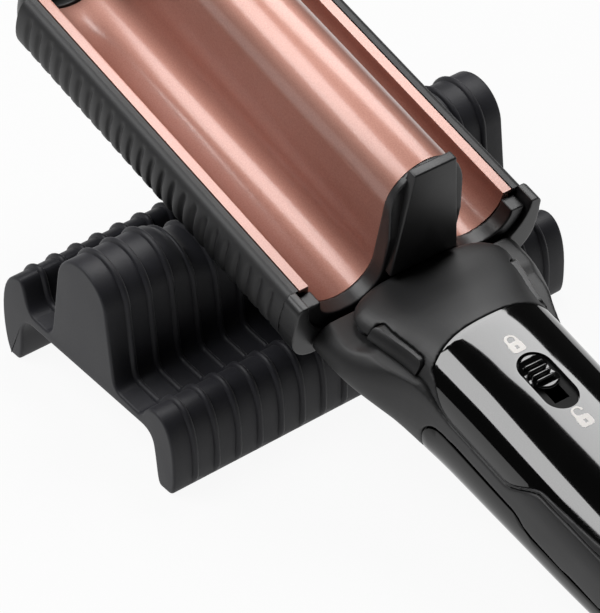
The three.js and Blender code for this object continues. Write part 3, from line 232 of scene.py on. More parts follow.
class Palette:
    """Makes each finish once and hands it out."""

    def __init__(self) -> None:
        """Starts with nothing made."""
        self.made: dict[str, bpy.types.Material] = {}

    def lay(self, obj: bpy.types.Object, finish: Finish) -> None:
        """Puts a finish on a whole object.

        Args:
            obj: The object to dress.
            finish: Its surface.
        """
        if finish.name not in self.made:
            self.made[finish.name] = finish.build()
        obj.data.materials.clear()
        obj.data.materials.append(self.made[finish.name])


# Modelling steps


def smooth_step(t: float) -> float:
    """Eases from 0 to 1."""
    c = min(1.0, max(0.0, t))
    return c * c * (3 - 2 * c)


def along(stations: list[Point]) -> Callable[[float], float]:
    """Makes a size that changes smoothly along the handle.

    Args:
        stations: Pairs of x and value that the curve runs through.

    Returns:
        The value at any x.
    """
    ends = [stations[0], *stations, stations[-1]]
    samples: list[Point] = []
    for a, b, c, d in zip(ends, ends[1:], ends[2:], ends[3:]):
        for i in range(24):
            t = i / 24
            samples.append(tuple(
                0.5 * (2 * q + (r - p) * t + (2 * p - 5 * q + 4 * r - s) * t * t
                       + (3 * q - 3 * r + s - p) * t**3)
                for p, q, r, s in zip(a, b, c, d)))
    samples.append(stations[-1])

    def value(x: float) -> float:
        """Reads the curve at x.

        Args:
            x: Place along the handle.

        Returns:
            The value there.
        """
        if x <= samples[0][0]:
            return samples[0][1]
        for (x0, v0), (x1, v1) in zip(samples, samples[1:]):
            if x <= x1:
                return v0 + (v1 - v0) * (x - x0) / (x1 - x0 or 1)
        return samples[-1][1]

    return value


def deselect() -> None:
    """Leaves object mode with nothing selected."""
    if bpy.context.object and bpy.context.object.mode != "OBJECT":
        bpy.ops.object.mode_set(mode="OBJECT")
    bpy.ops.object.select_all(action="DESELECT")


def hold(obj: bpy.types.Object) -> None:
    """Makes an object the only selected one, and active.

    Args:
        obj: The object.
    """
    deselect()
    obj.select_set(True)
    bpy.context.view_layer.objects.active = obj


@contextmanager
def editing(obj: bpy.types.Object, action: str | None = "SELECT") -> Iterator[None]:
    """Keeps an object in edit mode for a few steps.

    Args:
        obj: The object to edit.
        action: What is done to its selection first, or None to keep what was selected.

    Yields:
        Nothing. The steps run meanwhile.
    """
    hold(obj)
    bpy.ops.object.mode_set(mode="EDIT")
    if action:
        bpy.ops.mesh.select_all(action=action)
    yield
    bpy.ops.object.mode_set(mode="OBJECT")


def extrude(way: tuple | Vector) -> None:
    """Extrudes what is selected along a straight way."""
    bpy.ops.mesh.extrude_region_move(TRANSFORM_OT_translate={"value": way})


def face_out() -> None:
    """Turns every normal of the mesh in edit mode outward."""
    bpy.ops.mesh.select_all(action="SELECT")
    bpy.ops.mesh.normals_make_consistent(inside=False)


def named(name: str) -> bpy.types.Object:
    """Names the primitive that was just added, and applies its place to its mesh.

    Args:
        name: Its name.

    Returns:
        The object.
    """
    obj = bpy.context.object
    obj.name = obj.data.name = name
    bpy.ops.object.transform_apply(location=True, rotation=True, scale=True)
    return obj


def block(name: str, low: tuple, high: tuple) -> bpy.types.Object:
    """Adds a box between two corners.

    Args:
        name: The name of the new object.
        low: Its lowest corner.
        high: Its highest corner.

    Returns:
        The box.
    """
    deselect()
    size = [h - l for l, h in zip(low, high)]
    bpy.ops.mesh.primitive_cube_add(size=1, location=[(l + h) / 2 for l, h in zip(low, high)], scale=size)
    return named(name)


def rod(name: str, radius: float, start: tuple, end: tuple, sides: int = 48) -> bpy.types.Object:
    """Adds a round bar between two points.

    Args:
        name: The name of the new object.
        radius: Its radius.
        start: The middle of one end.
        end: The middle of the other.
        sides: How many flat sides stand for the round.

    Returns:
        The bar.
    """
    deselect()
    line = Vector(end) - Vector(start)
    bpy.ops.mesh.primitive_cylinder_add(
        radius=radius, depth=line.length, vertices=sides, location=(Vector(start) + Vector(end)) / 2,
        rotation=line.to_track_quat("Z", "Y").to_euler())
    return named(name)


def modify(obj: bpy.types.Object, kind: str, **settings) -> bpy.types.Object:
    """Adds a modifier and applies it.

    Args:
        obj: The object.
        kind: Blender's name for the kind of modifier.
        **settings: The modifier's settings.

    Returns:
        The changed object.
    """
    hold(obj)
    step = obj.modifiers.new(kind.title(), kind)
    for key, value in settings.items():
        setattr(step, key, value)
    bpy.ops.object.modifier_apply(modifier=step.name)
    return obj


def combine(obj: bpy.types.Object, others: list[bpy.types.Object], how: str,
            solver: str = "EXACT") -> bpy.types.Object:
    """Joins, cuts or crosses a solid with others, which are used up.

    Args:
        obj: The solid that stays.
        others: The solids to use on it.
        how: UNION, DIFFERENCE or INTERSECT.
        solver: FAST suits finely faceted pieces whose faces nowhere lie in each other.

    Returns:
        The changed solid.
    """
    for other in others:
        modify(obj, "BOOLEAN", operation=how, object=other, solver=solver)
        bpy.data.objects.remove(other)
    return obj


def copy_of(obj: bpy.types.Object, name: str) -> bpy.types.Object:
    """Copies an object with a mesh of its own.

    Args:
        obj: The object to copy.
        name: The copy's name.

    Returns:
        The copy.
    """
    twin = obj.copy()
    twin.data = obj.data.copy()
    twin.name = twin.data.name = name
    bpy.context.collection.objects.link(twin)
    return twin


def soften(obj: bpy.types.Object, voxel: float, rounds: int = 6) -> bpy.types.Object:
    """Rounds every edge of a moulded piece a little, as a mould does.

    Args:
        obj: A closed solid.
        voxel: The size of the new faces in mm.
        rounds: How often to smooth.

    Returns:
        The softened solid.
    """
    modify(obj, "REMESH", mode="VOXEL", voxel_size=voxel)
    modify(obj, "SMOOTH", factor=0.5, iterations=rounds)
    return obj


def bevelled(obj: bpy.types.Object, width: float, segments: int = 3, angle: float = 35.0) -> bpy.types.Object:
    """Rounds the edges that turn by more than an angle in degrees."""
    return modify(obj, "BEVEL", width=width, segments=segments, limit_method="ANGLE",
                  angle_limit=math.radians(angle), harden_normals=False)


def outline(name: str, knots: list[Knot], plane: Plane, at: float, closed: bool = True,
            steps: int = 12) -> bpy.types.Object:
    """Draws a profile as a curve and turns it to mesh edges.

    Args:
        name: The name of the new object.
        knots: Point, handle in and handle out of each knot, the handles as offsets.
        plane: The plane it is drawn in.
        at: Its place along the axis across that plane.
        closed: Whether the last knot joins the first.
        steps: Edges between two knots.

    Returns:
        The mesh.
    """
    def lift(u: float, v: float) -> Vector:
        """Puts a point of the profile in space."""
        return Vector({Plane.ACROSS: (at, u, v), Plane.SIDE: (u, at, v), Plane.PLAN: (u, v, at)}[plane])

    deselect()
    bpy.ops.curve.primitive_bezier_curve_add()
    obj = bpy.context.object
    obj.name = name
    curve = obj.data
    curve.dimensions = "3D"
    curve.resolution_u = steps
    spline = curve.splines[0]
    spline.bezier_points.add(len(knots) - 2)
    spline.use_cyclic_u = closed
    for point, (spot, before, after) in zip(spline.bezier_points, knots):
        point.handle_left_type = point.handle_right_type = "FREE"
        point.co = lift(*spot)
        point.handle_left = lift(spot[0] + before[0], spot[1] + before[1])
        point.handle_right = lift(spot[0] + after[0], spot[1] + after[1])
    bpy.ops.object.convert(target="MESH")
    obj = bpy.context.object
    with editing(obj):
        bpy.ops.mesh.remove_doubles(threshold=0.01)
    obj.name = obj.data.name = name
    return obj


def pulled(obj: bpy.types.Object, way: tuple, fill: bool = True) -> bpy.types.Object:
    """Pulls a profile along a straight way, to a closed solid or an open sheet.

    Args:
        obj: The profile.
        way: How far to pull it, and where.
        fill: Whether it is filled first, to make a solid.

    Returns:
        The solid or the sheet.
    """
    with editing(obj):
        if fill:
            bpy.ops.mesh.edge_face_add()
        extrude(way)
        face_out()
    return obj


def corner(u: float, v: float) -> Knot:
    """A knot with no handles."""
    return ((u, v), (0.0, 0.0), (0.0, 0.0))


def mirrored(half: list[Knot], shared: bool) -> list[Knot]:
    """Adds the other half of a profile.

    Args:
        half: Knots on the positive side.
        shared: Whether the last knot lies on the middle line.

    Returns:
        Both halves, in order.
    """
    rest = half[:-1] if shared else half
    other = [((-p[0], p[1]), (-a[0], a[1]), (-b[0], b[1])) for p, b, a in reversed(rest)]
    return [*half, *other]


def ship(obj: bpy.types.Object, palette: Palette, finish: Finish, body: Body,
         replaces: tuple[str, ...] = (), angle: float = 32.0, level: bool = False) -> bpy.types.Object:
    """Shades a finished mesh, puts it in its place in metres, dresses it and lets it ride.

    Args:
        obj: The mesh in millimetres.
        palette: The finishes.
        finish: Its surface.
        body: The body that it rides on.
        replaces: The CAD nodes that it stands for.
        angle: Edges that turn by more degrees stay sharp.
        level: True for the rest, which isn't tilted with the waver.

    Returns:
        The piece.
    """
    hold(obj)
    obj.matrix_world = (REST_PLACE if level else WAVER_PLACE) @ Matrix.Diagonal((MM, MM, MM, 1))
    bpy.ops.object.transform_apply(location=True, rotation=True, scale=True)
    bpy.ops.object.shade_smooth_by_angle(angle=math.radians(angle))
    palette.lay(obj, finish)
    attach(obj, body.value)
    if replaces:
        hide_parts(*replaces)
    log.info("%s: %d faces", obj.name, len(obj.data.polygons))
    return obj


def hinge_point() -> Vector:
    """The jaw hinge's place in the row frame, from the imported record."""
    joint = next(j for j in frame["joints"] if j["name"] == "jaw_hinge")
    return Vector(joint["pos_m"])


TURN = Matrix.Rotation(TILT, 4, "Y")
HEEL = hinge_point() - TURN.to_3x3() @ Vector((HINGE_X * MM, 0, HINGE_Z * MM))
WAVER_PLACE = Matrix.Translation(HEEL) @ TURN
REST_PLACE = (Matrix.Translation((HEEL.x - HEEL_PAST_REST[0], HEEL.y - HEEL_PAST_REST[1], 0))
              @ Matrix.Rotation(REST_TURN, 4, "Z"))


# Sub-assemblies


@dataclass
class Wave:
    """The wave line that both jaws follow."""

    ridge: float = 10.5
    height: float = 28.3
    valley: float = 9.65
    lift: float = 0.4
    length: float = 111.5
    steps: int = 14

    def knots(self, depth: float, rim: float | None, shift: float = 0.0) -> list[Knot]:
        """The line at a depth under the outer face, from the +Y rim to the -Y rim.

        Args:
            depth: Distance under the outer face.
            rim: Half width of the flange, or None for no flange.
            shift: How far the line's ends lie below the rim.

        Returns:
            Its knots.
        """
        r, v = self.ridge - depth, self.valley + depth
        mid = self.ridge + self.valley
        k, top = KAPPA, self.height - self.ridge
        flange = [] if rim is None else [corner(rim, -shift)]
        edge = mid + v - (0.02 if flange else 0)
        return mirrored([
            *flange,
            ((edge, -shift), (0, 0), (0, -(v - self.lift) * k)),
            ((mid, self.lift - v), (v * k, 0), (-v * k, 0)),
            ((mid - v, self.lift), (0, -v * k), (0, 0)),
            ((r, top), (0, 0), (0, r * k)),
            ((0, self.height - depth), (r * k, 0), (-r * k, 0)),
        ], shared=True)

    def sheet(self, name: str, top: float, bottom: float, x0: float, x1: float,
              rim: float | None, drop: float) -> bpy.types.Object:
        """A pressed sheet between two depths.

        Args:
            name: The name of the new object.
            top: Depth of its upper face under the outer face.
            bottom: Depth of its lower face.
            x0: Its end at the tip.
            x1: Its end at the heel.
            rim: Half width of the flange, or None for no flange.
            drop: How far its rims lie below the jaw's.

        Returns:
            The closed sheet.
        """
        mid, thick = (top + bottom) / 2, bottom - top
        line = outline(name, self.knots(mid, rim, drop), Plane.ACROSS, x0, closed=False, steps=self.steps)
        pulled(line, (x1 - x0, 0, 0), fill=False)
        modify(line, "SOLIDIFY", thickness=thick, offset=0.0, use_even_offset=True)
        with editing(line):
            face_out()
        return line


@dataclass(frozen=True)
class Sheet:
    """One sheet of a jaw: its depths under the outer face, its reach and what it is made of."""

    name: str
    node: str
    top: float
    bottom: float
    drop: float
    finish: Finish = ROSE_GOLD
    slot: str = "rose_metal"
    body: Body = Body.UPPER
    tip_inset: float = 0.0
    heel_inset: float = 0.0
    rim: float | None = None
    edge: float = 0.25
    edge_steps: int = 2


@dataclass
class WavePlates:
    """The four nested sheets that press and heat the hair."""

    wave: Wave = field(default_factory=Wave)
    sheets: tuple[Sheet, ...] = (
        Sheet("wave_plate_outer", "upper_outer_plate", 0.0, 1.1, 0.55, rim=32.5, edge=0.35, edge_steps=3),
        Sheet("wave_heater_film", "upper_heater_film", 1.4, 1.9, 2.4, FILM, "heater_film", tip_inset=6.0,
              heel_inset=6.0, edge=0.0),
        Sheet("wave_plate_inner", "upper_inner_plate", 2.2, 3.2, 3.0),
        Sheet("wave_plate_lower", "lower_plate", 3.8, 4.9, 1.5, body=Body.LOWER, tip_inset=2.6,
              heel_inset=1.2))

    def build(self, palette: Palette) -> None:
        """Makes the outer, film, inner and lower sheets.

        Args:
            palette: The finishes.
        """
        for s in self.sheets:
            piece = self.wave.sheet(s.name, s.top, s.bottom, s.tip_inset - self.wave.length, -s.heel_inset,
                                    s.rim, s.drop)
            if s.edge:
                bevelled(piece, s.edge, s.edge_steps, 50)
            ship(piece, palette, s.finish, s.body, (s.node,))


@dataclass
class RibbedRow:
    """One pitch of a ribbed wall, made once and repeated along its length."""

    pitch: float
    count: int
    width: float
    height: float
    rows: int = 8
    power: float = 1.0

    def grow(self, obj: bpy.types.Object, way: Vector, fade: Callable[[Vector], float],
             ends: tuple[float, float], edge: float = 0.0) -> bpy.types.Object:
        """Turns a closed profile to a ribbed bar.

        Args:
            obj: The profile, at the start of the first pitch.
            way: Unit vector that the bar runs along.
            fade: How much of the rib's height a spot of the profile takes.
            ends: Plain length before the first pitch and after the last.
            edge: Radius of the rounded rim of both end faces.

        Returns:
            The closed bar.
        """
        land = (self.pitch - self.width) / 2
        with editing(obj):
            for step in (land, *[self.width / self.rows] * self.rows, land):
                extrude(way * step)
        self.raise_rows(obj, way, fade, land)
        modify(obj, "ARRAY", count=self.count, use_relative_offset=False, use_constant_offset=True,
               constant_offset_displace=way * self.pitch, use_merge_vertices=True, merge_threshold=0.01)
        self.close(obj, way, ends, edge)
        return obj

    def raise_rows(self, obj: bpy.types.Object, way: Vector, fade: Callable[[Vector], float],
                   land: float) -> None:
        """Lifts the rows in the middle of the pitch along the profile's own normal.

        Args:
            obj: The pitch, extruded.
            way: Unit vector that the bar runs along.
            fade: How much of the rib's height a spot of the profile takes.
            land: Plain length on each side of the rib.
        """
        mesh = bmesh.new()
        mesh.from_mesh(obj.data)
        bmesh.ops.recalc_face_normals(mesh, faces=mesh.faces)
        mesh.normal_update()
        start = min(v.co.dot(way) for v in mesh.verts)
        outward = self.outward_sign(mesh, way)
        moves = []
        for v in mesh.verts:
            t = (v.co.dot(way) - start - land) / self.width
            if -0.01 < t < 1.01:
                swell = max(0.0, math.sin(math.pi * min(1, max(0, t)))) ** self.power
                flat = (v.normal - way * v.normal.dot(way)).normalized()
                moves.append((v, flat * outward * self.height * swell * fade(v.co)))
        for v, move in moves:
            v.co += move
        mesh.to_mesh(obj.data)
        mesh.free()

    @staticmethod
    def outward_sign(mesh: bmesh.types.BMesh, way: Vector) -> float:
        """Tells whether the open tube's normals point out, from the volume they enclose.

        Args:
            mesh: The open tube.
            way: Unit vector that it runs along. Not used.

        Returns:
            1 where they point out, or else -1.
        """
        middle = sum((v.co for v in mesh.verts), Vector()) / len(mesh.verts)
        total = sum(f.calc_area() * f.normal.dot(f.calc_center_median() - middle) for f in mesh.faces)
        return 1.0 if total > 0 else -1.0

    @staticmethod
    def rim(edge: float, steps: int = 4) -> list[Point]:
        """The steps out and in of a rounded rim, and of a flat ring inside it.

        Args:
            edge: Radius of the rim, or 0 for none.
            steps: Steps of its round.

        Returns:
            Pairs of a step out and a step in.
        """
        if not edge:
            return []
        turns = [(math.pi / 2 * i / steps, math.pi / 2 * (i + 1) / steps) for i in range(steps)]
        round_part = [(edge * (math.sin(b) - math.sin(a)), edge * (math.cos(a) - math.cos(b)))
                      for a, b in turns]
        return [*round_part, (0.01, edge / 4)]

    @classmethod
    def close(cls, obj: bpy.types.Object, way: Vector, ends: tuple[float, float], edge: float) -> None:
        """Adds the plain lengths and the end faces, with a rounded rim where one is asked for.

        Args:
            obj: The bar, open at both ends.
            way: Unit vector that the bar runs along.
            ends: Plain length before the first pitch and after the last.
            edge: Radius of the rounded rim, or 0 for none.
        """
        spots = [v.co.dot(way) for v in obj.data.vertices]
        mesh = bmesh.new()
        mesh.from_mesh(obj.data)
        inward = -cls.outward_sign(mesh, way)
        mesh.free()
        for start, extra, sign in ((min(spots), ends[0], -1), (max(spots), ends[1], 1)):
            for v in obj.data.vertices:
                v.select = abs(v.co.dot(way) - start) < 0.02
            for e in obj.data.edges:
                e.select = all(obj.data.vertices[i].select for i in e.vertices)
            for f in obj.data.polygons:
                f.select = False
            with editing(obj, None):
                bpy.ops.mesh.select_mode(type="EDGE")
                extrude(way * extra * sign)
                for out, drawn in cls.rim(edge):
                    extrude(way * sign * out)
                    bpy.ops.transform.shrink_fatten(value=inward * drawn)
                bpy.ops.mesh.edge_face_add()
        with editing(obj):
            face_out()
            bpy.ops.mesh.select_all(action="DESELECT")
            bpy.ops.mesh.select_mode(type="VERT")


@dataclass
class RibbedRest:
    """The silicone rest: a bridge on two legs, with a tall hump, two low ones and raised beads."""

    width: float = 126.0
    span: float = 35.6
    under: float = 15.0
    slab: float = 18.1
    tip_top: float = 27.2
    heel_top: float = 22.6
    hump_x: float = -1.5
    tall: float = 48.4
    radius: float = 10.0
    dip: float = 4.8
    dip_half: float = 34.5
    edge: float = 0.7
    beads: RibbedRow = field(default_factory=lambda: RibbedRow(6.65, 18, 1.8, 0.9, 10, 0.62))

    def knots(self) -> list[Knot]:
        """The side profile, from the crest over the heel-side leg, under the slab and back.

        Returns:
            Its knots.
        """
        w, s, u, x, r = self.span, self.slab, self.under, self.hump_x, self.radius
        lean, reach = 0.2, 0.476 * self.radius
        side = (r * math.cos(lean), self.tall - r + r * math.sin(lean))
        rise = (math.sin(lean) * reach, math.cos(lean) * reach)
        return [
            ((x, self.tall), (-reach, 0), (reach, 0)),
            ((x + side[0], side[1]), (-rise[0], rise[1]), (0, 0)),
            ((x + 12.4, s + 4), (0, 0), (0.33, -2.67)),
            ((x + 16, s), (-2.07, 0), (0, 0)),
            ((w - 14.6, s - 0.4), (0, 0), (2.6, 0.2)),
            ((w - 7.6, self.heel_top), (-5.0, -0.4), (4.2, 0)),
            ((w - 0.2, 8), (-0.2, 9.6), (0.2, -5.0)),
            ((w - 2.6, 0), (2.2, 0), (0, 0)),
            ((w - 5.4, 0), (0, 0), (-2.1, 0)),
            ((w - 8.6, 11.4), (1.4, -6.4), (-0.53, 2.4)),
            ((w - 13.4, u), (2.67, 0), (0, 0)),
            ((-w + 12.6, u), (0, 0), (-2.4, 0)),
            ((-w + 8.2, 10), (0.53, 3.33), (-0.4, -6.0)),
            ((-w + 5.6, 0), (2.0, 0), (0, 0)),
            ((-w + 3, 0), (0, 0), (-1.8, 1.2)),
            ((-w, 13), (0, -5.0), (0, 9.1)),
            ((-w + 7.6, self.tip_top), (-4.6, -1.0), (2.8, 0)),
            ((-w + 14, s + 0.2), (-4.6, 0.2), (0, 0)),
            ((x - 15.6, s), (0, 0), (1.8, 0)),
            ((x - 12.4, s + 4), (-0.33, -2.67), (0, 0)),
            ((x - side[0], side[1]), (0, 0), (rise[0], rise[1])),
        ]

    def fade(self, spot: Vector) -> float:
        """Beads stand on the outer and upper faces alone."""
        outside = abs(spot.x) > self.span - 4.2 or spot.z > self.under + 1.5
        return smooth_step((spot.z - 0.5) / 4) if outside else 0.0

    def cradle(self, rest: bpy.types.Object) -> None:
        """Lowers the tall hump's middle, so that the tray lies in it as in a cradle.

        Args:
            rest: The ribbed bar.
        """
        floor = self.slab + 2
        for v in rest.data.vertices:
            on_hump = abs(v.co.x - self.hump_x) < 13 and v.co.z > floor + 3
            v.select = on_hump and abs(v.co.y) < self.dip_half
        with editing(rest, None):
            bpy.ops.transform.resize(
                value=(1, 1, 1 - self.dip / (self.tall - floor)), center_override=(0, 0, floor),
                use_proportional_edit=True, proportional_edit_falloff="SMOOTH", proportional_size=8)

    def build(self, palette: Palette) -> None:
        """Draws the profile, repeats the bead and rounds the ends.

        Args:
            palette: The finishes.
        """
        run = self.beads.pitch * self.beads.count
        rest = outline("silicone_rest", self.knots(), Plane.SIDE, -run / 2, steps=10)
        ends = ((self.width - run) / 2 - self.edge,) * 2
        self.beads.grow(rest, Vector((0, 1, 0)), self.fade, ends, self.edge)
        self.cradle(rest)
        ship(rest, palette, SILICONE, Body.REST, ("rest_stand",), angle=50, level=True)


@dataclass
class RibbedTray:
    """The lower jaw's housing: a tray with grooved flanks."""

    depth: float = 18.0
    camber: float = 0.15
    rim: float = 34.3
    lip: float = 1.4
    wall: float = 1.6
    pocket: float = 35.0
    bulge: float = 3.0
    length: float = 111.8
    grooves: RibbedRow = field(default_factory=lambda: RibbedRow(4.43, 24, 2.6, -0.75, 8, 1.9))

    def outside(self) -> list[Knot]:
        """The outer line, from the +Y rim down and under to the -Y rim.

        Returns:
            Its knots.
        """
        out, rim, d = self.rim + self.bulge, self.rim, self.depth
        return mirrored([
            ((rim, 0), (0, 0), (2.4, -0.4)),
            ((out, -d / 2), (0.2, 4.5), (-0.2, -5.2)),
            ((out - 8, -d), (5.2, 0), (0, 0)),
            corner(out - 15, -d - self.camber),
        ], shared=False)

    def inside(self) -> list[Knot]:
        """The inner line, from the +Y rim down and over to the -Y rim.

        Returns:
            Its knots.
        """
        inner, d = self.rim - self.lip, self.depth
        return mirrored([
            corner(inner, 0),
            corner(inner, -self.lip),
            corner(self.pocket, -self.lip - 0.1),
            corner(inner + self.wall, -d + 6),
            corner(inner - 4, -d + self.wall),
        ], shared=False)

    def fade(self, spot: Vector) -> float:
        """Grooves fade in below the shoulder and out under the floor, and skip the inside.

        Args:
            spot: A place on the section.

        Returns:
            The share of the groove's depth there.
        """
        if abs(spot.y) < self.rim + 0.1 and spot.z > -self.depth + 1.2:
            return 0.0
        out = self.rim + self.bulge
        under = smooth_step((abs(spot.y) - (out - 13)) / 6)
        inner = abs(spot.y) < self.rim + self.wall - 0.4 and spot.z > -self.depth + 5
        return 0.0 if inner else smooth_step((-spot.z - 2.2) / 2) * under

    def build(self, palette: Palette) -> None:
        """Draws the section, repeats the groove and closes the ends.

        Args:
            palette: The finishes.
        """
        run = self.grooves.pitch * self.grooves.count
        back = [(p, b, a) for p, a, b in reversed(self.inside())]
        tray = outline("ribbed_tray", [*self.outside(), *back], Plane.ACROSS, 0.0, steps=9)
        hold(tray)
        tray.location.x = -self.length + (self.length - run) / 2
        bpy.ops.object.transform_apply(location=True)
        self.grooves.grow(tray, Vector((1, 0, 0)), self.fade, ((self.length - run) / 2,) * 2)
        ship(tray, palette, HOUSING, Body.LOWER, ("tray_housing",), angle=50)


@dataclass
class EndCaps:
    """The four moulded ends of the jaws, with the finger guard on the upper heel."""

    wave: Wave = field(default_factory=Wave)
    tray: RibbedTray = field(default_factory=RibbedTray)
    proud: float = 0.5
    deep: float = 3.6
    heel: float = 4.4
    crest: float = 1.9
    tip: float = 3.0
    heel_block: float = 5.8
    post_top: float = 0.7
    nose: float = 8.0
    swing: float = 0.7
    guard_height: float = 29.2
    guard_base: float = 10.3
    guard_top: float = 6.3
    guard_thick: float = 2.8
    guard_lean: float = 3.1
    guard_foot: float = 1.2
    guard_waist: float = 14.0
    nose_steps: int = 10
    nose_start: Point = (0.94, 0.96)
    nose_draw: Point = (0.12, 0.2)

    def band(self, name: str, x0: float, x1: float) -> bpy.types.Object:
        """The wave band of a cap with the arch under the ridge closed.

        Args:
            name: The name of the new object.
            x0: Its end at the tip.
            x1: Its end at the heel.

        Returns:
            The closed solid.
        """
        body = self.wave.sheet(name, -self.proud, self.deep, x0, x1, None, self.deep / 2)
        r, floor = self.wave.ridge - 1, -9.6
        top, k = self.wave.height - self.wave.ridge, KAPPA * (self.wave.ridge - 1)
        arch = outline("arch", [
            corner(r, floor), ((r, top), (0, 0), (0, k)), ((0, top + r), (k, 0), (-k, 0)),
            ((-r, top), (0, k), (0, 0)), corner(-r, floor)], Plane.ACROSS, x0, steps=12)
        return combine(body, [pulled(arch, (x1 - x0, 0, 0))], "UNION")

    def guard(self) -> bpy.types.Object:
        """The tall blade that keeps fingers off the ridge, leaning back to its crest.

        Returns:
            The blade.
        """
        x, t, foot, waist = SEAT + 0.8, self.guard_thick, self.guard_foot, self.guard_waist
        blade = block("guard", (x, -self.guard_base, -foot),
                      (x + t + self.guard_lean, self.guard_base, waist))
        half = (waist + foot) / (self.guard_height + foot)
        narrow = 1 - (1 - self.guard_top / self.guard_base) * half
        lean = 1 - self.guard_lean * half / (t + self.guard_lean)
        with editing(blade, None):
            mesh = bmesh.from_edit_mesh(blade.data)
            for face in mesh.faces:
                face.select_set(face.normal.z > 0.9)
            bmesh.update_edit_mesh(blade.data)
            bpy.ops.transform.resize(value=(lean, narrow, 1), center_override=(x, 0, waist))
            extrude((0, 0, self.guard_height - waist))
            bpy.ops.transform.resize(
                value=(t / (t + self.guard_lean) / lean, self.guard_top / self.guard_base / narrow, 1),
                center_override=(x, 0, self.guard_height))
        return bevelled(blade, 0.5, 4, 30)

    def path(self, name: str, x0: float, x1: float) -> bpy.types.Object:
        """The room that an upper cap needs as it lifts out of the tray.

        Args:
            name: The name of the new object.
            x0: Its end at the tip.
            x1: Its end at the heel.

        Returns:
            The solid to cut with.
        """
        r = self.wave.valley + self.deep + self.swing
        mid, low, k = self.wave.ridge + self.wave.valley, self.wave.lift, KAPPA
        shape = mirrored([
            corner(mid + r, 6), ((mid + r, low), (0, 0), (0, -r * k)),
            ((mid, low - r), (r * k, 0), (0, 0)),
        ], shared=False)
        return pulled(outline(name, shape, Plane.ACROSS, x0, steps=14), (x1 - x0, 0, 0))

    def post_line(self) -> list[Knot]:
        """The lower heel cap's outline, which stands full to the rim in a post at both sides.

        Returns:
            Its knots.
        """
        out, d = self.tray.rim + self.tray.bulge, self.tray.depth
        return mirrored([
            ((out - 1.6, self.post_top), (0, 0), (0.8, 0)),
            ((out + 0.1, self.post_top - 2.2), (0, 0.9), (0.1, -2)),
            ((out + 0.2, -d / 2), (0.1, 4), (-0.2, -5.2)),
            ((out - 8, -d - 0.2), (5.2, 0), (0, 0)),
            corner(out - 15, -d - 0.2 - self.tray.camber),
        ], shared=False)

    def build(self, palette: Palette) -> None:
        """Makes the four caps.

        Args:
            palette: The finishes.
        """
        end = -self.wave.length - SEAT
        heel = self.band("cap_heel_upper", SEAT, SEAT + self.heel)
        crest, thick = SEAT + self.crest, SEAT + self.heel
        scoop = outline("scoop", [corner(20, 40), corner(20, 2), corner(thick + 0.2, 9), corner(crest, 23),
                                  corner(crest, 40)], Plane.SIDE, -12.5, steps=1)
        combine(heel, [pulled(scoop, (0, 25, 0))], "DIFFERENCE")
        soften(heel, 0.3, 3)
        combine(heel, [self.guard()], "UNION")
        ship(heel, palette, CAP, Body.UPPER, ("upper_heel_cap",), angle=60)
        tip = soften(self.band("cap_tip_upper", end - self.tip, end), 0.32, 3)
        ship(tip, palette, CAP, Body.UPPER, ("upper_tip_cap",), angle=60)
        lower = pulled(outline("cap_heel_lower", self.post_line(), Plane.ACROSS, SEAT, steps=10),
                       (self.heel_block, 0, 0))
        combine(lower, [self.path("room", -2, SEAT + self.heel_block + 2)], "DIFFERENCE")
        soften(lower, 0.3, 3)
        ship(lower, palette, CAP, Body.LOWER, ("lower_heel_cap",), angle=60)
        self.build_nose(palette, end - SEAT)

    def build_nose(self, palette: Palette, x1: float) -> None:
        """The lower tip, drawn in towards its rounded nose.

        Args:
            palette: The finishes.
            x1: Its end at the jaw.
        """
        nose = outline("cap_tip_lower", self.tray.outside(), Plane.ACROSS, x1, steps=10)
        middle, (wide, high) = -self.tray.depth / 2, self.nose_start
        with editing(nose):
            bpy.ops.mesh.edge_face_add()
            bpy.ops.transform.resize(value=(1, wide, high), center_override=(x1, 0, middle))
            for i in range(1, self.nose_steps + 1):
                t = i / self.nose_steps
                w, h = (begin - draw * t * t for begin, draw in zip(self.nose_start, self.nose_draw))
                extrude((-self.nose / self.nose_steps, 0, 0))
                bpy.ops.transform.resize(value=(1, w / wide, h / high), center_override=(x1, 0, middle))
                wide, high = w, h
            face_out()
        combine(nose, [self.path("room", x1 - self.tip - self.swing - 0.3, x1 + 2)], "DIFFERENCE")
        soften(nose, 0.32, 6)
        ship(nose, palette, CAP, Body.LOWER, ("lower_tip_cap",), angle=60)


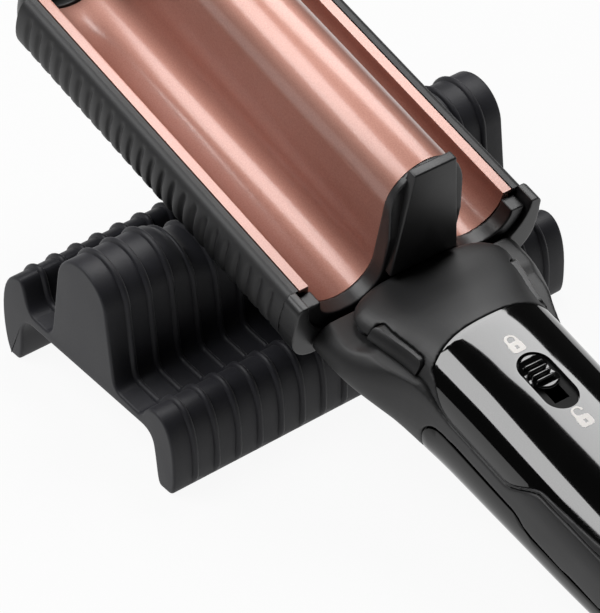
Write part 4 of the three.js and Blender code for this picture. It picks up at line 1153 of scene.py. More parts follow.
@dataclass
class ArmForm:
    """The lines that both halves of the handle share: one oval, cut in two by the parting line."""

    split: float = 9.9
    step: float = 5.4
    step_x: float = 65.0
    step_run: float = 11.0
    neck_rise: float = 3.4
    waist: float = -10.5
    gap: float = 0.35
    half: float = 20.1
    end_half: float = 16.8
    top: float = 3.3
    bottom: float = 33.6
    neck: float = 23.8
    low_neck: float = 31.3
    knuckle: float = 6.5
    knuckle_half: float = 6.7
    swing: float = 0.7
    wall: float = 2.2
    deck: float = 1.5

    def split_z(self, x: float) -> float:
        """Height of the parting line.

        Args:
            x: Place along the handle.

        Returns:
            The height there.
        """
        return (-self.split + self.neck_rise * (1 - smooth_step((x - 32) / 14))
                + self.step * smooth_step((x - self.step_x) / self.step_run)
                - (self.step - 1.0) * smooth_step((x - 100) / 36))

    def lower_top(self, x: float) -> float:
        """Height of the lower half's upper face."""
        return self.split_z(x) - self.gap - 1.6 * (1 - smooth_step((x - 15) / 6))

    @staticmethod
    def fullness(x: float) -> float:
        """How square the crown's half of the section is: fuller at the neck, rounder in the hand."""
        return 3.4 - smooth_step((x - 12) / 18)

    @staticmethod
    def hug(power: float) -> float:
        """Handle length that makes a curve between two knots a quarter of a superellipse."""
        return (2 ** (-1 / power) - 0.5) / 0.375

    def ring(self, x: float, half: float, crown: float, keel: float, sag: float) -> bpy.types.Object:
        """One closed section of the oval.

        Args:
            x: Its place along the handle.
            half: Its half width.
            crown: Height of its upper side.
            keel: Height of its lower side.
            sag: How far its widest level is lowered.

        Returns:
            The ring of edges.
        """
        over, under = self.hug(self.fullness(x) - min(1.0, sag / 3)), self.hug(3.4)
        waist = self.waist - sag
        up, down = (crown - waist) * over, (waist - keel) * under
        return outline("ring", [
            ((half, waist), (0, -down), (0, up)), ((0, crown), (half * over, 0), (-half * over, 0)),
            ((-half, waist), (0, up), (0, -down)), ((0, keel), (-half * under, 0), (half * under, 0)),
        ], Plane.ACROSS, x, steps=18)

    def oval(self, name: str, xs: list[float], half: Callable, crown: Callable,
             keel: Callable, sag: Callable = lambda x: 0.0) -> bpy.types.Object:
        """Bridges a row of sections to a closed bar.

        Args:
            name: The name of the new object.
            xs: The stations along the handle.
            half: Half width at a station.
            crown: Height of the upper side.
            keel: Height of the lower side.
            sag: How far the widest level is lowered.

        Returns:
            The closed bar.
        """
        rings = [self.ring(x, half(x), crown(x), keel(x), sag(x)) for x in xs]
        deselect()
        for ring in rings:
            ring.select_set(True)
        bpy.context.view_layer.objects.active = rings[0]
        bpy.ops.object.join()
        obj = bpy.context.object
        obj.name = obj.data.name = name
        with editing(obj):
            bpy.ops.mesh.bridge_edge_loops()
            bpy.ops.mesh.select_all(action="DESELECT")
        for end in (xs[0], xs[-1]):
            for v in obj.data.vertices:
                v.select = abs(v.co.x - end) < 0.01
            with editing(obj, None):
                bpy.ops.mesh.edge_face_add()
                bpy.ops.mesh.select_all(action="DESELECT")
        with editing(obj):
            face_out()
        return obj

    @staticmethod
    def side_cut(name: str, line: Callable, far: float, last: float) -> bpy.types.Object:
        """Everything on one side of a line seen from the side, as far as a height.

        Args:
            name: The name of the new object.
            line: Height of the line at a place along the handle.
            far: Height that the block reaches up or down to.
            last: Its rear end.

        Returns:
            The block.
        """
        # Closer where the parting line or the cover's edge steps
        xs = [-20, 14, *[15 + i for i in range(8)], 30, *[32 + i for i in range(15)], 55,
              *[64 + i for i in range(13)], 88, *[99 + 3 * i for i in range(13)], last]
        side = [*[corner(x, line(x)) for x in xs], corner(last, far), corner(-20, far)]
        return pulled(outline(name, side, Plane.SIDE, -50, steps=1), (0, 100, 0))

    def stations(self, first: float, last: float, pitch: float = 2.6) -> list[float]:
        """Evenly spaced stations, closer over the first few millimetres.

        Args:
            first: The first one.
            last: The last one.
            pitch: Distance between two, past the close ones.

        Returns:
            Their places.
        """
        close = [first + d for d in (0, 0.5, 1.2, 2.2, 3.6, 5.2, 7.0)]
        count = max(1, round((last - close[-1]) / pitch))
        return [*close, *[close[-1] + (last - close[-1]) * i / count for i in range(1, count + 1)]]

    def round_room(self, radius: float, y0: float, y1: float) -> bpy.types.Object:
        """A round bar on the hinge's axis."""
        return rod("hinge_room", radius, (HINGE_X, y0, HINGE_Z), (HINGE_X, y1, HINGE_Z), 64)


@dataclass
class UpperArm:
    """The upper half of the handle: matt neck, piano-black cover and the parts that it carries."""

    form: ArmForm = field(default_factory=ArmForm)
    front: float = 5.0
    cover_front: float = 30.4
    sweep: float = 11.0
    screws: tuple[float, float] = (80.0, 133.0)

    def __post_init__(self) -> None:
        """Sets the lines that change along the arm."""
        f = self.form
        n, h, t = f.neck, f.half, f.top
        self.half = along([
            (self.front, n - 8), (6.8, n - 3.4), (9.6, n - 0.5), (13, n), (20, n - 1.3), (30, h + 0.4),
            (44, h), (72, h - 0.3), (110, h - 1.6), (HINGE_X, f.end_half)])
        self.crown = along([
            (self.front, t - 7.6), (6.2, t - 6.1), (9, t - 5.3), (14, t - 4.3), (22, t - 2.3), (31, t - 0.75),
            (44, t - 0.2), (60, t - 0.05), (100, t - 0.85), (HINGE_X, HINGE_Z + f.knuckle)])

    def skin(self, name: str, inset: float, first: float, last: float) -> bpy.types.Object:
        """The arm's oval between two stations, not yet parted from the lower arm's.

        Args:
            name: The name of the new object.
            inset: How far it lies inside the outer face.
            first: Its front end.
            last: Its rear end.

        Returns:
            The closed bar.
        """
        f = self.form
        return f.oval(name, f.stations(first, last), lambda x: self.half(x) - inset,
                      lambda x: self.crown(x) - inset, lambda x: f.waist - 5)

    def body(self, name: str, inset: float = 0.0) -> bpy.types.Object:
        """The whole form, or its hollow when inset.

        Args:
            name: The name of the new object.
            inset: How far it lies inside the outer face.

        Returns:
            The solid.
        """
        f = self.form
        first = self.front + (f.wall + 4 if inset else 0)
        last = HINGE_X - (8.5 if inset else 0)
        over = f.side_cut("over", lambda x: f.split_z(x) + (f.deck if inset else 0), 40, 155)
        return combine(self.skin(name, inset, first, last), [over], "INTERSECT")

    def region(self, name: str, grow: float) -> bpy.types.Object:
        """The part of the arm under the gloss cover: a U in plan, above a line seen from the side.

        Args:
            name: The name of the new object.
            grow: Gap to leave around it.

        Returns:
            The solid.
        """
        f, reach, n = self.form, self.form.half + 5, 32
        plan = []
        for i in range(n + 1):
            t = -1 + 2 * i / n
            bend = self.sweep * abs(t) ** 3
            plan.append(corner(self.cover_front - grow + bend, -reach * math.copysign(abs(t) ** 0.9, t)))
        plan += [corner(HINGE_X + 20, -reach), corner(HINGE_X + 20, reach)]
        u = pulled(outline(name, plan, Plane.PLAN, -40, steps=1), (0, 0, 80))
        side = f.side_cut("side", lambda x: self.cover_edge(x) - grow, 40, 168)
        return combine(u, [side], "INTERSECT")

    def cover_edge(self, x: float) -> float:
        """Height of the gloss cover's lower edge."""
        lift = 1.2 + 2.2 * (1 - smooth_step((x - 34) / 8)) + smooth_step((x - 80) / 16)
        return self.form.split_z(x) + lift

    def notch(self) -> bpy.types.Object:
        """Room for the lower arm's knuckle."""
        f = self.form
        return f.round_room(f.knuckle + f.swing, -f.knuckle_half - SEAT, f.knuckle_half + SEAT)

    def tab_room(self, side: int) -> bpy.types.Object:
        """Room for a guide tab."""
        return GuideTabs(self).tab("tab_room", side, 0.28)

    def screw_bore(self, x: float) -> bpy.types.Object:
        """Room for one screw's head, sunk in the deck."""
        z = self.form.split_z(x)
        return rod("bore", SCREW_BORE, (x, 0, z - 2), (x, 0, z + 1.5), 32)

    def build(self, palette: Palette, lock: "Lock") -> None:
        """Makes the neck and the gloss cover.

        Args:
            palette: The finishes.
            lock: The lock, whose slot and recess are cut.
        """
        f = self.form
        ear = f.end_half - 0.4
        frame_part = self.body("arm_frame_upper")
        cover = copy_of(frame_part, "arm_cover_upper")
        hollow = self.body("hollow", f.wall)
        combine(frame_part, [self.tab_room(1), self.tab_room(-1)], "DIFFERENCE", "FAST")
        combine(frame_part, [self.region("region", f.gap), copy_of(hollow, "hollow_2"), lock.slot(),
                             *[self.screw_bore(x) for x in self.screws], self.notch()], "DIFFERENCE")
        inner = f.knuckle_half + SEAT + 0.02
        ears = [f.round_room(f.knuckle, *sorted((s * inner, s * ear))) for s in (1, -1)]
        combine(frame_part, ears, "UNION")
        combine(frame_part, [f.round_room(PIN_BORE, -40, 40)], "DIFFERENCE")
        soften(frame_part, 0.36, 2)
        ship(frame_part, palette, HOUSING, Body.UPPER, ("upper_frame",), angle=60)
        combine(cover, [self.region("region", 0.0)], "INTERSECT")
        combine(cover, [hollow, self.notch(), f.round_room(f.knuckle + SEAT, -ear - 1, ear + 1),
                        lock.recess(), lock.slot(), *Controls(self).bores()], "DIFFERENCE")
        bevelled(cover, 0.2, 2, 40)
        ship(cover, palette, GLOSS, Body.UPPER, ("upper_cover",), angle=30)


@dataclass
class GuideTabs:
    """The two tabs of the lower arm that run in pockets in the neck's sides and follow their round."""

    arm: UpperArm
    x0: float = 16.0
    length: float = 15.0
    height: float = 3.4
    proud: float = 0.5
    depth: float = 1.2

    def tab(self, name: str, side: int, grow: float) -> bpy.types.Object:
        """One tab, or its room when grown.

        Args:
            name: The name of the new object.
            side: 1 on the +Y side, -1 on the other.
            grow: Gap to leave around it, or 0 for the tab itself.

        Returns:
            The solid.
        """
        foot = self.arm.form.split_z(self.x0) - (3 if grow else 0)
        top = self.arm.form.split_z(self.x0) + self.height + grow
        x0, x1 = self.x0 - grow, self.x0 + self.length + grow
        shape = [
            corner(x0, foot), corner(x1, foot), ((x1, top - 1.8), (0, 0), (0, 0.8)),
            ((x1 - 1.4, top), (0.8, 0), (0, 0)), ((x0 + 1.2, top), (0, 0), (-0.7, 0)),
            ((x0, top - 1.0), (0, 0.5), (0, 0))]
        slab = pulled(outline(name, shape, Plane.SIDE, 13 * side, steps=5), (0, 27 * side, 0))
        combine(slab, [self.arm.skin("behind", self.depth + grow, x0 - 2, x1 + 2)], "DIFFERENCE")
        if not grow:
            combine(slab, [self.arm.skin("face", -self.proud, x0 - 2, x1 + 2)], "INTERSECT")
        return slab

    def build(self, palette: Palette) -> None:
        """Makes both tabs, with soft edges.

        Args:
            palette: The finishes.
        """
        for hand, side in (("left", -1), ("right", 1)):
            tab = bevelled(self.tab(f"guide_tab_fine_{hand}", side, 0.0), 0.3, 3, 40)
            ship(tab, palette, CAP, Body.LOWER, (f"guide_tab_{hand}",), angle=40)


@dataclass
class Lock:
    """The slide that locks the jaws shut, in its recess between two printed padlocks."""

    x: float = 50.6
    travel: float = 6.5
    front: float = 44.9
    length: float = 11.0
    width: float = 7.9
    recess_x: float = 44.4
    recess_length: float = 18.4
    recess_width: float = 9.4
    depth: float = 1.4
    stem: float = 3.6
    stem_width: float = 3.4
    top: float = 3.15
    proud: float = 0.15
    dish: float = 1.25
    ridges: int = 4
    ridge_pitch: float = 1.55
    ridge_half: Point = (0.42, 2.7)
    bow: float = 1.35
    line: float = 0.42
    leg_half: float = 0.36
    signs: tuple[tuple[str, float, bool], ...] = (
        ("sign_locked", 40.5, False), ("sign_unlocked", 66.2, True))

    def stadium(self, name: str, x0: float, length: float, width: float, z0: float,
                z1: float) -> bpy.types.Object:
        """A flat piece with round ends.

        Args:
            name: The name of the new object.
            x0: Its front end.
            length: Its length.
            width: Its width.
            z0: Height of its underside.
            z1: Height of its top.

        Returns:
            The solid.
        """
        r = width / 2
        k = KAPPA * r
        a, b = x0 + r, x0 + length - r
        knots = [((b, -r), (0, 0), (k, 0)), ((b + r, 0), (0, -k), (0, k)), ((b, r), (k, 0), (0, 0)),
                 ((a, r), (0, 0), (-k, 0)), ((a - r, 0), (0, k), (0, -k)), ((a, -r), (-k, 0), (0, 0))]
        return pulled(outline(name, knots, Plane.PLAN, z0, steps=12), (0, 0, z1 - z0))

    def recess(self) -> bpy.types.Object:
        """The hollow in the cover."""
        return self.stadium("recess", self.recess_x, self.recess_length, self.recess_width,
                            self.top - self.depth, 12)

    def slot(self) -> bpy.types.Object:
        """The slot that the stem runs in."""
        x0, y = self.x - self.stem / 2 - 0.5, self.stem_width / 2 + 0.5
        return block("slot", (x0, -y, -30), (x0 + self.stem + self.travel + 1.0, y, 20))

    def thumb(self) -> bpy.types.Object:
        """The thumb piece with its grip ridges.

        Returns:
            The thumb piece.
        """
        floor, top = self.top - self.depth + SEAT, self.top + self.proud
        plate = self.stadium("lock_thumb", self.front, self.length, self.width, floor, top)
        thumb = bevelled(plate, 1.0, 6, 50)
        middle = self.front + self.length / 2
        reach = self.length / 2 - 1.3
        round_r = (reach**2 + self.dish**2) / (2 * self.dish)
        z = top - self.dish + round_r
        combine(thumb, [rod("dish", round_r, (middle, -9, z), (middle, 9, z), 128)], "DIFFERENCE")
        ridges, (thin, wide) = [], self.ridge_half
        for i in range(self.ridges):
            x = middle + (i - (self.ridges - 1) / 2) * self.ridge_pitch
            bar = block("ridge", (x - thin, -wide, self.top - 1.3), (x + thin, wide, self.top + 0.45))
            ridges.append(bevelled(bar, 0.38, 4, 30))
        stem = block("stem", (self.x - self.stem / 2, -self.stem_width / 2, self.top - self.depth - 1.1),
                     (self.x + self.stem / 2, self.stem_width / 2, floor + 0.4))
        return combine(thumb, [*ridges, stem], "UNION")

    def liner(self) -> bpy.types.Object:
        """A thin matt liner on the recess's floor, open over the slot.

        Returns:
            The liner.
        """
        floor = self.top - self.depth
        sheet = self.stadium("lock_liner", self.recess_x + 0.1, self.recess_length - 0.2,
                             self.recess_width - 0.2, floor + 0.01, floor + 0.16)
        return combine(sheet, [self.slot()], "DIFFERENCE")

    def padlock(self, name: str, x: float, swung: bool) -> bpy.types.Object:
        """A printed padlock sign: a body with a keyhole and a bow, swung open or shut.

        Args:
            name: The name of the new object.
            x: Front of the padlock's body.
            swung: Whether its bow is open.

        Returns:
            A tall solid with the sign's outline.
        """
        plate = bevelled(block(name, (x - 0.3, -1.95, -16), (x + 3.0, 1.95, 16)), 0.9, 4, 50)
        deselect()
        centre = x - (1.5 if swung else 0.9)
        bpy.ops.mesh.primitive_torus_add(
            major_radius=self.bow, minor_radius=self.line, major_segments=40, minor_segments=10,
            location=(centre, 0, 0))
        bow = named("bow")
        hold(bow)
        bow.scale.z = 12
        bpy.ops.object.transform_apply(scale=True)
        if swung:
            combine(bow, [block("gap", (centre, 0.4, -20), (centre + 3, 4, 20))], "DIFFERENCE")
        key = block("keyhole", (x + 0.9, -0.4, -18), (x + 2.0, 0.4, 18))
        legs = [block("leg", (centre, side * self.bow - self.leg_half, -4),
                      (x + 0.1, side * self.bow + self.leg_half, 4))
                for side in ((-1,) if swung else (1, -1))]
        combine(plate, [bow, *legs], "UNION")
        return combine(plate, [key], "DIFFERENCE")

    def print_sign(self, name: str, x: float, swung: bool, arm: UpperArm) -> bpy.types.Object:
        """Cuts the sign out of a thin skin that follows the cover.

        Args:
            name: The name of the new object.
            x: Front of the padlock's body.
            swung: Whether its bow is open.
            arm: The arm that carries it.

        Returns:
            The printed skin.
        """
        skin = arm.skin(name, -0.05, x - 8, x + 8)
        top = block("top", (x - 9, -9, 0), (x + 9, 9, 12))
        combine(skin, [self.padlock("sign", x, swung), top], "INTERSECT")
        return combine(skin, [arm.skin("under", 0.0, x - 8.5, x + 8.5)], "DIFFERENCE")

    def build(self, palette: Palette, arm: UpperArm) -> None:
        """Makes the thumb piece and prints the signs.

        Args:
            palette: The finishes.
            arm: The arm that carries the lock.
        """
        ship(self.thumb(), palette, GLOSS, Body.LOCK, ("lock_slide",), angle=40)
        ship(self.liner(), palette, DARK, Body.UPPER)
        for name, x, swung in self.signs:
            ship(self.print_sign(name, x, swung, arm), palette, INK, Body.UPPER)


@dataclass
class Controls:
    """The buttons and the light pipe on the rear of the upper arm."""

    arm: UpperArm
    power_x: float = 123.5
    power_r: float = 4.4
    set_r: float = 3.4
    set_x: tuple[float, float] = (101.0, 111.5)
    lens_x: float = 91.0
    lens_length: float = 6.0
    lens_width: float = 2.6
    rise: float = 0.9
    sunk: float = 0.25
    stroke_half: float = 0.25
    sign_half: float = 1.5
    ring_r: Point = (2.3, 1.8)

    def bores(self) -> list[bpy.types.Object]:
        """The holes in the cover.

        Returns:
            The solids to cut with.
        """
        spots = [(x, self.set_r) for x in self.set_x] + [(self.power_x, self.power_r)]
        rods = [rod("bore", r + 0.3, (x, 0, -4), (x, 0, 12), 48) for x, r in spots]
        z, half = self.arm.crown(self.lens_x), self.lens_length / 2 + 0.25
        slot = block("lens_slot", (self.lens_x - half, -self.lens_width / 2 - 0.25, z - 4),
                     (self.lens_x + half, self.lens_width / 2 + 0.25, z + 3))
        return [*rods, slot]

    def button(self, name: str, x: float, radius: float) -> bpy.types.Object:
        """A domed round button with a hidden flange.

        Args:
            name: The name of the new object.
            x: Place along the handle.
            radius: Its radius.

        Returns:
            The button.
        """
        top, under = self.arm.crown(x) + self.rise, self.arm.crown(x) - 2.2
        body = bevelled(rod(name, radius, (x, 0, under - 0.3), (x, 0, top), 64), 0.6, 4, 50)
        flange = rod("flange", radius + 0.8, (x, 0, under - 0.6), (x, 0, under), 64)
        return combine(body, [flange], "UNION")

    def build(self, palette: Palette) -> None:
        """Makes the buttons with their signs sunk in the top.

        Args:
            palette: The finishes.
        """
        spots = (("minus_button", self.set_x[0], self.set_r, Body.MINUS),
                 ("plus_button", self.set_x[1], self.set_r, Body.PLUS),
                 ("power_button", self.power_x, self.power_r, Body.POWER))
        thin, wide = self.stroke_half, self.sign_half
        for node_name, x, r, body in spots:
            top = self.arm.crown(x) + self.rise
            low = top - self.sunk
            piece = self.button(f"{node_name}_fine", x, r)
            if body is Body.POWER:
                outer, inner = self.ring_r
                ring = rod("ring", outer, (x, 0, low), (x, 0, top + 1), 48)
                combine(ring, [rod("core", inner, (x, 0, top - 1), (x, 0, top + 2), 48)], "DIFFERENCE")
                cuts = [ring, block("bar", (x - 2.9, -thin, low), (x - 0.4, thin, top + 1))]
            else:
                cuts = [block("bar", (x - thin, -wide, low), (x + thin, wide, top + 1))]
            if body is Body.PLUS:
                cuts.append(block("bar", (x - wide, -thin, low), (x + wide, thin, top + 1)))
            combine(piece, cuts, "DIFFERENCE")
            ship(piece, palette, CAP, body, (node_name,), angle=40)
        lens = self.arm.skin("light_pipe", 0.0, self.lens_x - 8, self.lens_x + 8)
        z, half = self.arm.crown(self.lens_x), self.lens_length / 2
        box = block("box", (self.lens_x - half, -self.lens_width / 2, z - 2.6),
                    (self.lens_x + half, self.lens_width / 2, z + 3))
        combine(lens, [box], "INTERSECT")
        ship(bevelled(lens, 0.2, 2, 40), palette, LENS, Body.UPPER, ("indicator_lens",))


@dataclass
class LowerArm:
    """The lower half of the handle: matt frame with its neck, and a gloss cover underneath."""

    upper: UpperArm
    form: ArmForm = field(default_factory=ArmForm)
    start: float = 6.4
    depth: float = 18.0
    end: float = 163.0
    floor_x: float = 153.0
    cover_front: float = 37.6
    cover_top: float = 15.8
    cover_step: float = 2.6
    floor_gap: float = 0.8
    hook_room: tuple[float, float, float] = (5.9, 9.2, 2.3)
    spring_r: float = 4.5
    spring_half: float = 3.73

    def __post_init__(self) -> None:
        """Sets the lines that change along the arm."""
        f, d = self.form, self.depth
        n, h, b = f.low_neck, f.half, f.bottom
        self.rest_z = self.floor_level()
        self.half = along([
            (self.start, n), (13, n - 0.3), (19, n - 1.4), (25, n - 4.2), (31, h + 3.2), (38, h + 0.8),
            (46, h), (72, h - 0.3), (110, h - 1.6), (HINGE_X, f.end_half), (self.end - 5, f.end_half - 1.2),
            (self.end, f.end_half - 4.5)])
        self.keel = along([
            (self.start, -d + 0.2), (12, -d - 0.6), (18, -d - 3), (25, -d - 8), (32, -b + 2.2), (39, -b),
            (48, -b + 0.3), (70, -b + 1.9), (100, -b + 3.5), (self.floor_x, self.rest_z),
            (self.end, self.rest_z + 3.4)])

    def floor_level(self) -> float:
        """Where the handle's rear comes nearly down to the floor, in the waver's own frame."""
        return -(HEEL.z / MM - math.sin(TILT) * self.floor_x - self.floor_gap) / math.cos(TILT)

    def crown(self, x: float) -> float:
        """Height of the oval's upper side, which sinks behind the hinge and under the neck."""
        return (self.upper.crown(x) - 3 * smooth_step((x - HINGE_X - 6) / 14)
                - 2.2 * (1 - smooth_step((x - 12) / 16)))

    @staticmethod
    def sag(x: float) -> float:
        """The shoulders at the neck slope down from under the upper arm."""
        return 3.4 * (1 - smooth_step((x - 16) / 18))

    def body(self, name: str, inset: float = 0.0) -> bpy.types.Object:
        """The whole form, or its hollow when inset.

        Args:
            name: The name of the new object.
            inset: How far it lies inside the outer face.

        Returns:
            The solid.
        """
        f = self.form
        first = self.start + (f.wall + 1 if inset else 0)
        last = HINGE_X - 8.5 if inset else self.end
        oval = f.oval(name, f.stations(first, last), lambda x: self.half(x) - inset,
                      lambda x: self.crown(x) - inset, lambda x: self.keel(x) + inset, self.sag)
        room = f.side_cut("room", lambda x: f.lower_top(x) - (f.deck if inset else 0), -60, 168)
        if not inset:
            combine(room, [block("rear", (HINGE_X + 4, -40, -59), (self.end + 1, 40, 40))], "UNION")
        return combine(oval, [room], "INTERSECT")

    def edge(self, x: float) -> float:
        """Height of the gloss cover's upper edge."""
        return (-self.cover_top - self.cover_step * smooth_step((x - 70) / 7)
                + 3 * smooth_step((x - 100) / 40))

    def region(self, name: str, grow: float) -> bpy.types.Object:
        """The part of the arm that the gloss cover takes.

        Args:
            name: The name of the new object.
            grow: Gap to leave around it.

        Returns:
            The solid.
        """
        front = self.cover_front - grow
        xs = [front + 6, 60, *[69 + i for i in range(9)], 98, 104, 110, 118, 126, 134]
        line = [corner(x, self.edge(x) + grow) for x in xs]
        first = line[0][0][1]
        nose = [corner(front, -60), ((front, first - 6), (0, 0), (0, 3.4)),
                ((front + 6, first), (-3.6, 0), (0, 0))]
        rear = HINGE_X - 6 + grow
        side = [*nose, *line[1:], corner(rear, line[-1][0][1]), corner(rear, -60)]
        return pulled(outline(name, side, Plane.SIDE, -50, steps=6), (0, 100, 0))

    def build(self, palette: Palette, lock: Lock) -> None:
        """Makes the frame and the cover.

        Args:
            palette: The finishes.
            lock: The lock, whose hook needs room.
        """
        f = self.form
        arm = self.body("arm_frame_lower")
        cover = copy_of(arm, "arm_cover_lower")
        hollow = self.body("hollow", f.wall)
        combine(arm, [self.region("region", f.gap), copy_of(hollow, "hollow_2")], "DIFFERENCE")
        rooms = [f.round_room(f.knuckle + f.swing, *sorted((s * f.knuckle_half, s * 40))) for s in (1, -1)]
        combine(arm, rooms, "DIFFERENCE")
        foot = block("foot", (HINGE_X - f.knuckle + 1, -f.knuckle_half, self.rest_z + 6),
                     (HINGE_X + f.knuckle + 4, f.knuckle_half, HINGE_Z))
        combine(arm, [f.round_room(f.knuckle, -f.knuckle_half, f.knuckle_half), foot], "UNION")
        before, behind, side = self.hook_room
        hook = block("hook", (lock.x - before, -side, -30), (lock.x + behind, side, 10))
        coil = self.spring_half
        spring = [f.round_room(self.spring_r, -coil, coil),
                  block("spring", (HINGE_X - 14, -coil, HINGE_Z - 4.8), (HINGE_X, coil, HINGE_Z + 20))]
        heads = [rod("bore", SCREW_BORE, (x, 0, f.lower_top(x) - 1.5), (x, 0, f.lower_top(x) + 2), 32)
                 for x in self.upper.screws]
        gland = Gland(self).shape("room", 0.4)
        combine(arm, [f.round_room(PIN_BORE, -40, 40), *spring, hook, gland, *heads], "DIFFERENCE")
        soften(arm, 0.5, 4)
        ship(arm, palette, HOUSING, Body.LOWER, ("lower_frame",), angle=60)
        combine(cover, [self.region("region", 0.0)], "INTERSECT")
        combine(cover, [hollow], "DIFFERENCE")
        bevelled(cover, 0.22, 2, 40)
        ship(cover, palette, GLOSS_UNDER, Body.LOWER, ("lower_cover",), angle=30)


@dataclass
class Gland:
    """The swivel gland at the cord end."""

    arm: LowerArm
    radius: float = 7.4
    neck: float = 5.0
    bore: float = 3.8
    length: float = 9.0
    depth: float = 8.0
    grooves: int = 3
    groove_pitch: float = 1.5
    groove_width: float = 0.6

    def shape(self, name: str, grow: float) -> bpy.types.Object:
        """The turned form, or its room in the frame when grown.

        Args:
            name: The name of the new object.
            grow: Gap to leave around it, or 0 for the gland itself.

        Returns:
            The solid.
        """
        x = self.arm.end
        z = (self.arm.rest_z + HINGE_Z + self.arm.form.knuckle) / 2 + 0.8
        collar = rod(name, self.radius - 1.2 + grow, (x - 8 - grow, 0, z), (x - 5 + grow, 0, z), 64)
        neck = rod("neck", self.neck + grow, (x - 6, 0, z), (x + (4 if grow else 1), 0, z), 64)
        combine(collar, [neck], "UNION")
        if grow:
            return collar
        head = bevelled(rod("head", self.radius, (x + SEAT, 0, z), (x + self.length, 0, z), 64), 1.2, 5, 50)
        combine(collar, [head], "UNION")
        rings = []
        for i in range(self.grooves):
            g = x + 2.2 + self.groove_pitch * i
            ring = rod("ring", self.radius + 1, (g, 0, z), (g + self.groove_width, 0, z), 64)
            core = rod("core", self.radius - 0.4, (x, 0, z), (x + 12, 0, z), 64)
            rings.append(combine(ring, [core], "DIFFERENCE"))
        bore = rod("bore", self.bore, (x + self.length - self.depth, 0, z), (x + 20, 0, z), 48)
        return combine(collar, [*rings, bore], "DIFFERENCE")

    def build(self, palette: Palette) -> None:
        """Makes the gland."""
        gland = self.shape("gland_fine", 0.0)
        ship(gland, palette, CAP, Body.GLAND, ("swivel_gland",), angle=40)


@dataclass
class InnerParts:
    """The CAD nodes that show only when the jaws open, or inside the slots."""

    finishes: tuple[tuple[str, Finish], ...] = (
        ("lower_heater", ALUMINA), ("heater_carrier", ALUMINA), ("thermal_fuse", STEEL),
        ("catch_plate", STEEL), ("latch_hook", STEEL), ("hinge_pin", STEEL), ("opening_spring", STEEL),
        ("power_board", BOARD), ("control_board", BOARD), ("lower_screw_1", STEEL),
        ("lower_screw_2", STEEL), ("upper_screw_1", STEEL), ("upper_screw_2", STEEL),
        ("stop_bumper_left", SILICONE), ("stop_bumper_right", SILICONE))

    def dress(self, palette: Palette) -> None:
        """Gives each node its finish."""
        for name, finish in self.finishes:
            palette.lay(frame["nodes"][name], finish)


@dataclass(frozen=True)
class SoftBox:
    """A soft lamp: its place, the point that it faces, its size in metres and its power in watts."""

    name: str
    spot: tuple[float, float, float]
    size: Point
    watts: float
    target: tuple[float, float, float] = (-0.03, 0.0, 0.05)

    def hang(self) -> None:
        """Adds the lamp."""
        deselect()
        bpy.ops.object.light_add(type="AREA", location=self.spot)
        lamp = bpy.context.object
        lamp.name = self.name
        lamp.data.shape = "RECTANGLE"
        lamp.data.size, lamp.data.size_y = self.size
        lamp.data.energy = self.watts
        aim = Vector(self.target) - Vector(self.spot)
        lamp.rotation_euler = aim.to_track_quat("-Z", "X").to_euler()


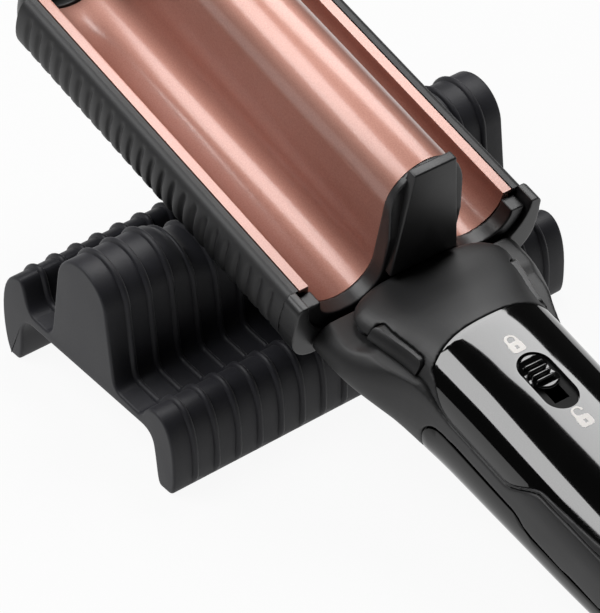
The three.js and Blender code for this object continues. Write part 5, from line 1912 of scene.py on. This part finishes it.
@dataclass
class Studio:
    """Pale floor, soft light and the camera, with its angles in degrees and its lengths in metres."""

    azimuth: float = 51.94
    elevation: float = 40.32
    roll: float = 1.18
    distance: float = 1.0
    lens: float = 229.9
    aside: float = -0.00022
    above: float = 0.00375
    aim: tuple[float, float] = (0.002488, 0.002659)
    paper_share: float = 0.93
    world_strength: float = 0.03
    lamps: tuple[SoftBox, ...] = (
        SoftBox("shoulder_box", (-0.36, -0.52, 0.85), (0.58, 0.66), 8.4),
        SoftBox("crown_box", (-0.36, 0.45, 0.90), (0.54, 0.66), 7.8))

    def camera(self) -> None:
        """Sets the camera at the photograph's place."""
        a, e, r = (math.radians(v) for v in (self.azimuth, self.elevation, self.roll))
        back = Vector((math.sin(a) * math.cos(e), -math.cos(a) * math.cos(e), math.sin(e)))
        right = Vector((math.cos(a), math.sin(a), 0))
        up = back.cross(right)
        turned_right = right * math.cos(r) + up * math.sin(r)
        turned_up = up * math.cos(r) - right * math.sin(r)
        aim = REST_PLACE.to_translation() + Vector((self.aim[0], self.aim[1], 0))
        deselect()
        bpy.ops.object.camera_add()
        cam = bpy.context.object
        place = Matrix((turned_right, turned_up, back)).transposed().to_4x4()
        place.translation = aim + back * self.distance + turned_right * self.aside + turned_up * self.above
        cam.matrix_world = place
        cam.data.lens = self.lens
        cam.data.clip_start = 0.01
        bpy.context.scene.camera = cam

    def whiten(self, tree: bpy.types.NodeTree) -> None:
        """Lets the floor show as plain white to the eye, with only a trace of the shadows on it.

        Args:
            tree: The nodes of the floor's material.
        """
        path = add(tree, "ShaderNodeLightPath")
        seen = path.outputs["Is Camera Ray"]
        for ray in ("Is Glossy Ray", "Is Transmission Ray"):
            either = add(tree, "ShaderNodeMath", {0: seen, 1: path.outputs[ray]}, operation="MAXIMUM")
            seen = either.outputs[0]
        share = add(tree, "ShaderNodeMath", {0: seen, 1: self.paper_share}, operation="MULTIPLY")
        glow = add(tree, "ShaderNodeEmission", {"Color": linear("#FFFFFF"), "Strength": 1.0})
        mixed = add(tree, "ShaderNodeMixShader", {
            0: share.outputs[0], 1: tree.nodes["Principled BSDF"].outputs[0], 2: glow.outputs[0]})
        tree.links.new(mixed.outputs[0], tree.nodes["Material Output"].inputs["Surface"])

    def set_up(self, palette: Palette) -> None:
        """Makes the floor, the lamps, the world and the camera.

        Args:
            palette: The finishes.
        """
        scene = bpy.context.scene
        scene.view_settings.view_transform = "Standard"
        world = scene.world or bpy.data.worlds.new("studio")
        scene.world = world
        world.use_nodes = True
        tree = world.node_tree
        tree.nodes.clear()
        plain = add(tree, "ShaderNodeBackground", {
            "Color": linear("#FFFFFF"), "Strength": self.world_strength})
        add(tree, "ShaderNodeOutputWorld", {"Surface": plain.outputs[0]})
        deselect()
        bpy.ops.mesh.primitive_plane_add(size=8, location=(0, 0, -0.0004))
        floor = named("floor")
        palette.lay(floor, Finish("floor_paper_white", "#C8C8C8", "#C4C4C4", 0.9, grain_mm=5.0,
                                  grain_height_mm=0.0))
        self.whiten(floor.data.materials[0].node_tree)
        for lamp in self.lamps:
            lamp.hang()
        self.camera()


def main() -> None:
    """Builds, dresses and lights everything, in order."""
    palette = Palette()
    Studio().set_up(palette)
    RibbedRest().build(palette)
    WavePlates().build(palette)
    RibbedTray().build(palette)
    EndCaps().build(palette)
    upper = UpperArm()
    lock = Lock()
    upper.build(palette, lock)
    lock.build(palette, upper)
    GuideTabs(upper).build(palette)
    Controls(upper).build(palette)
    lower = LowerArm(upper)
    lower.build(palette, lock)
    Gland(lower).build(palette)
    InnerParts().dress(palette)


if __name__ == "__main__":
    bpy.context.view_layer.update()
    main()
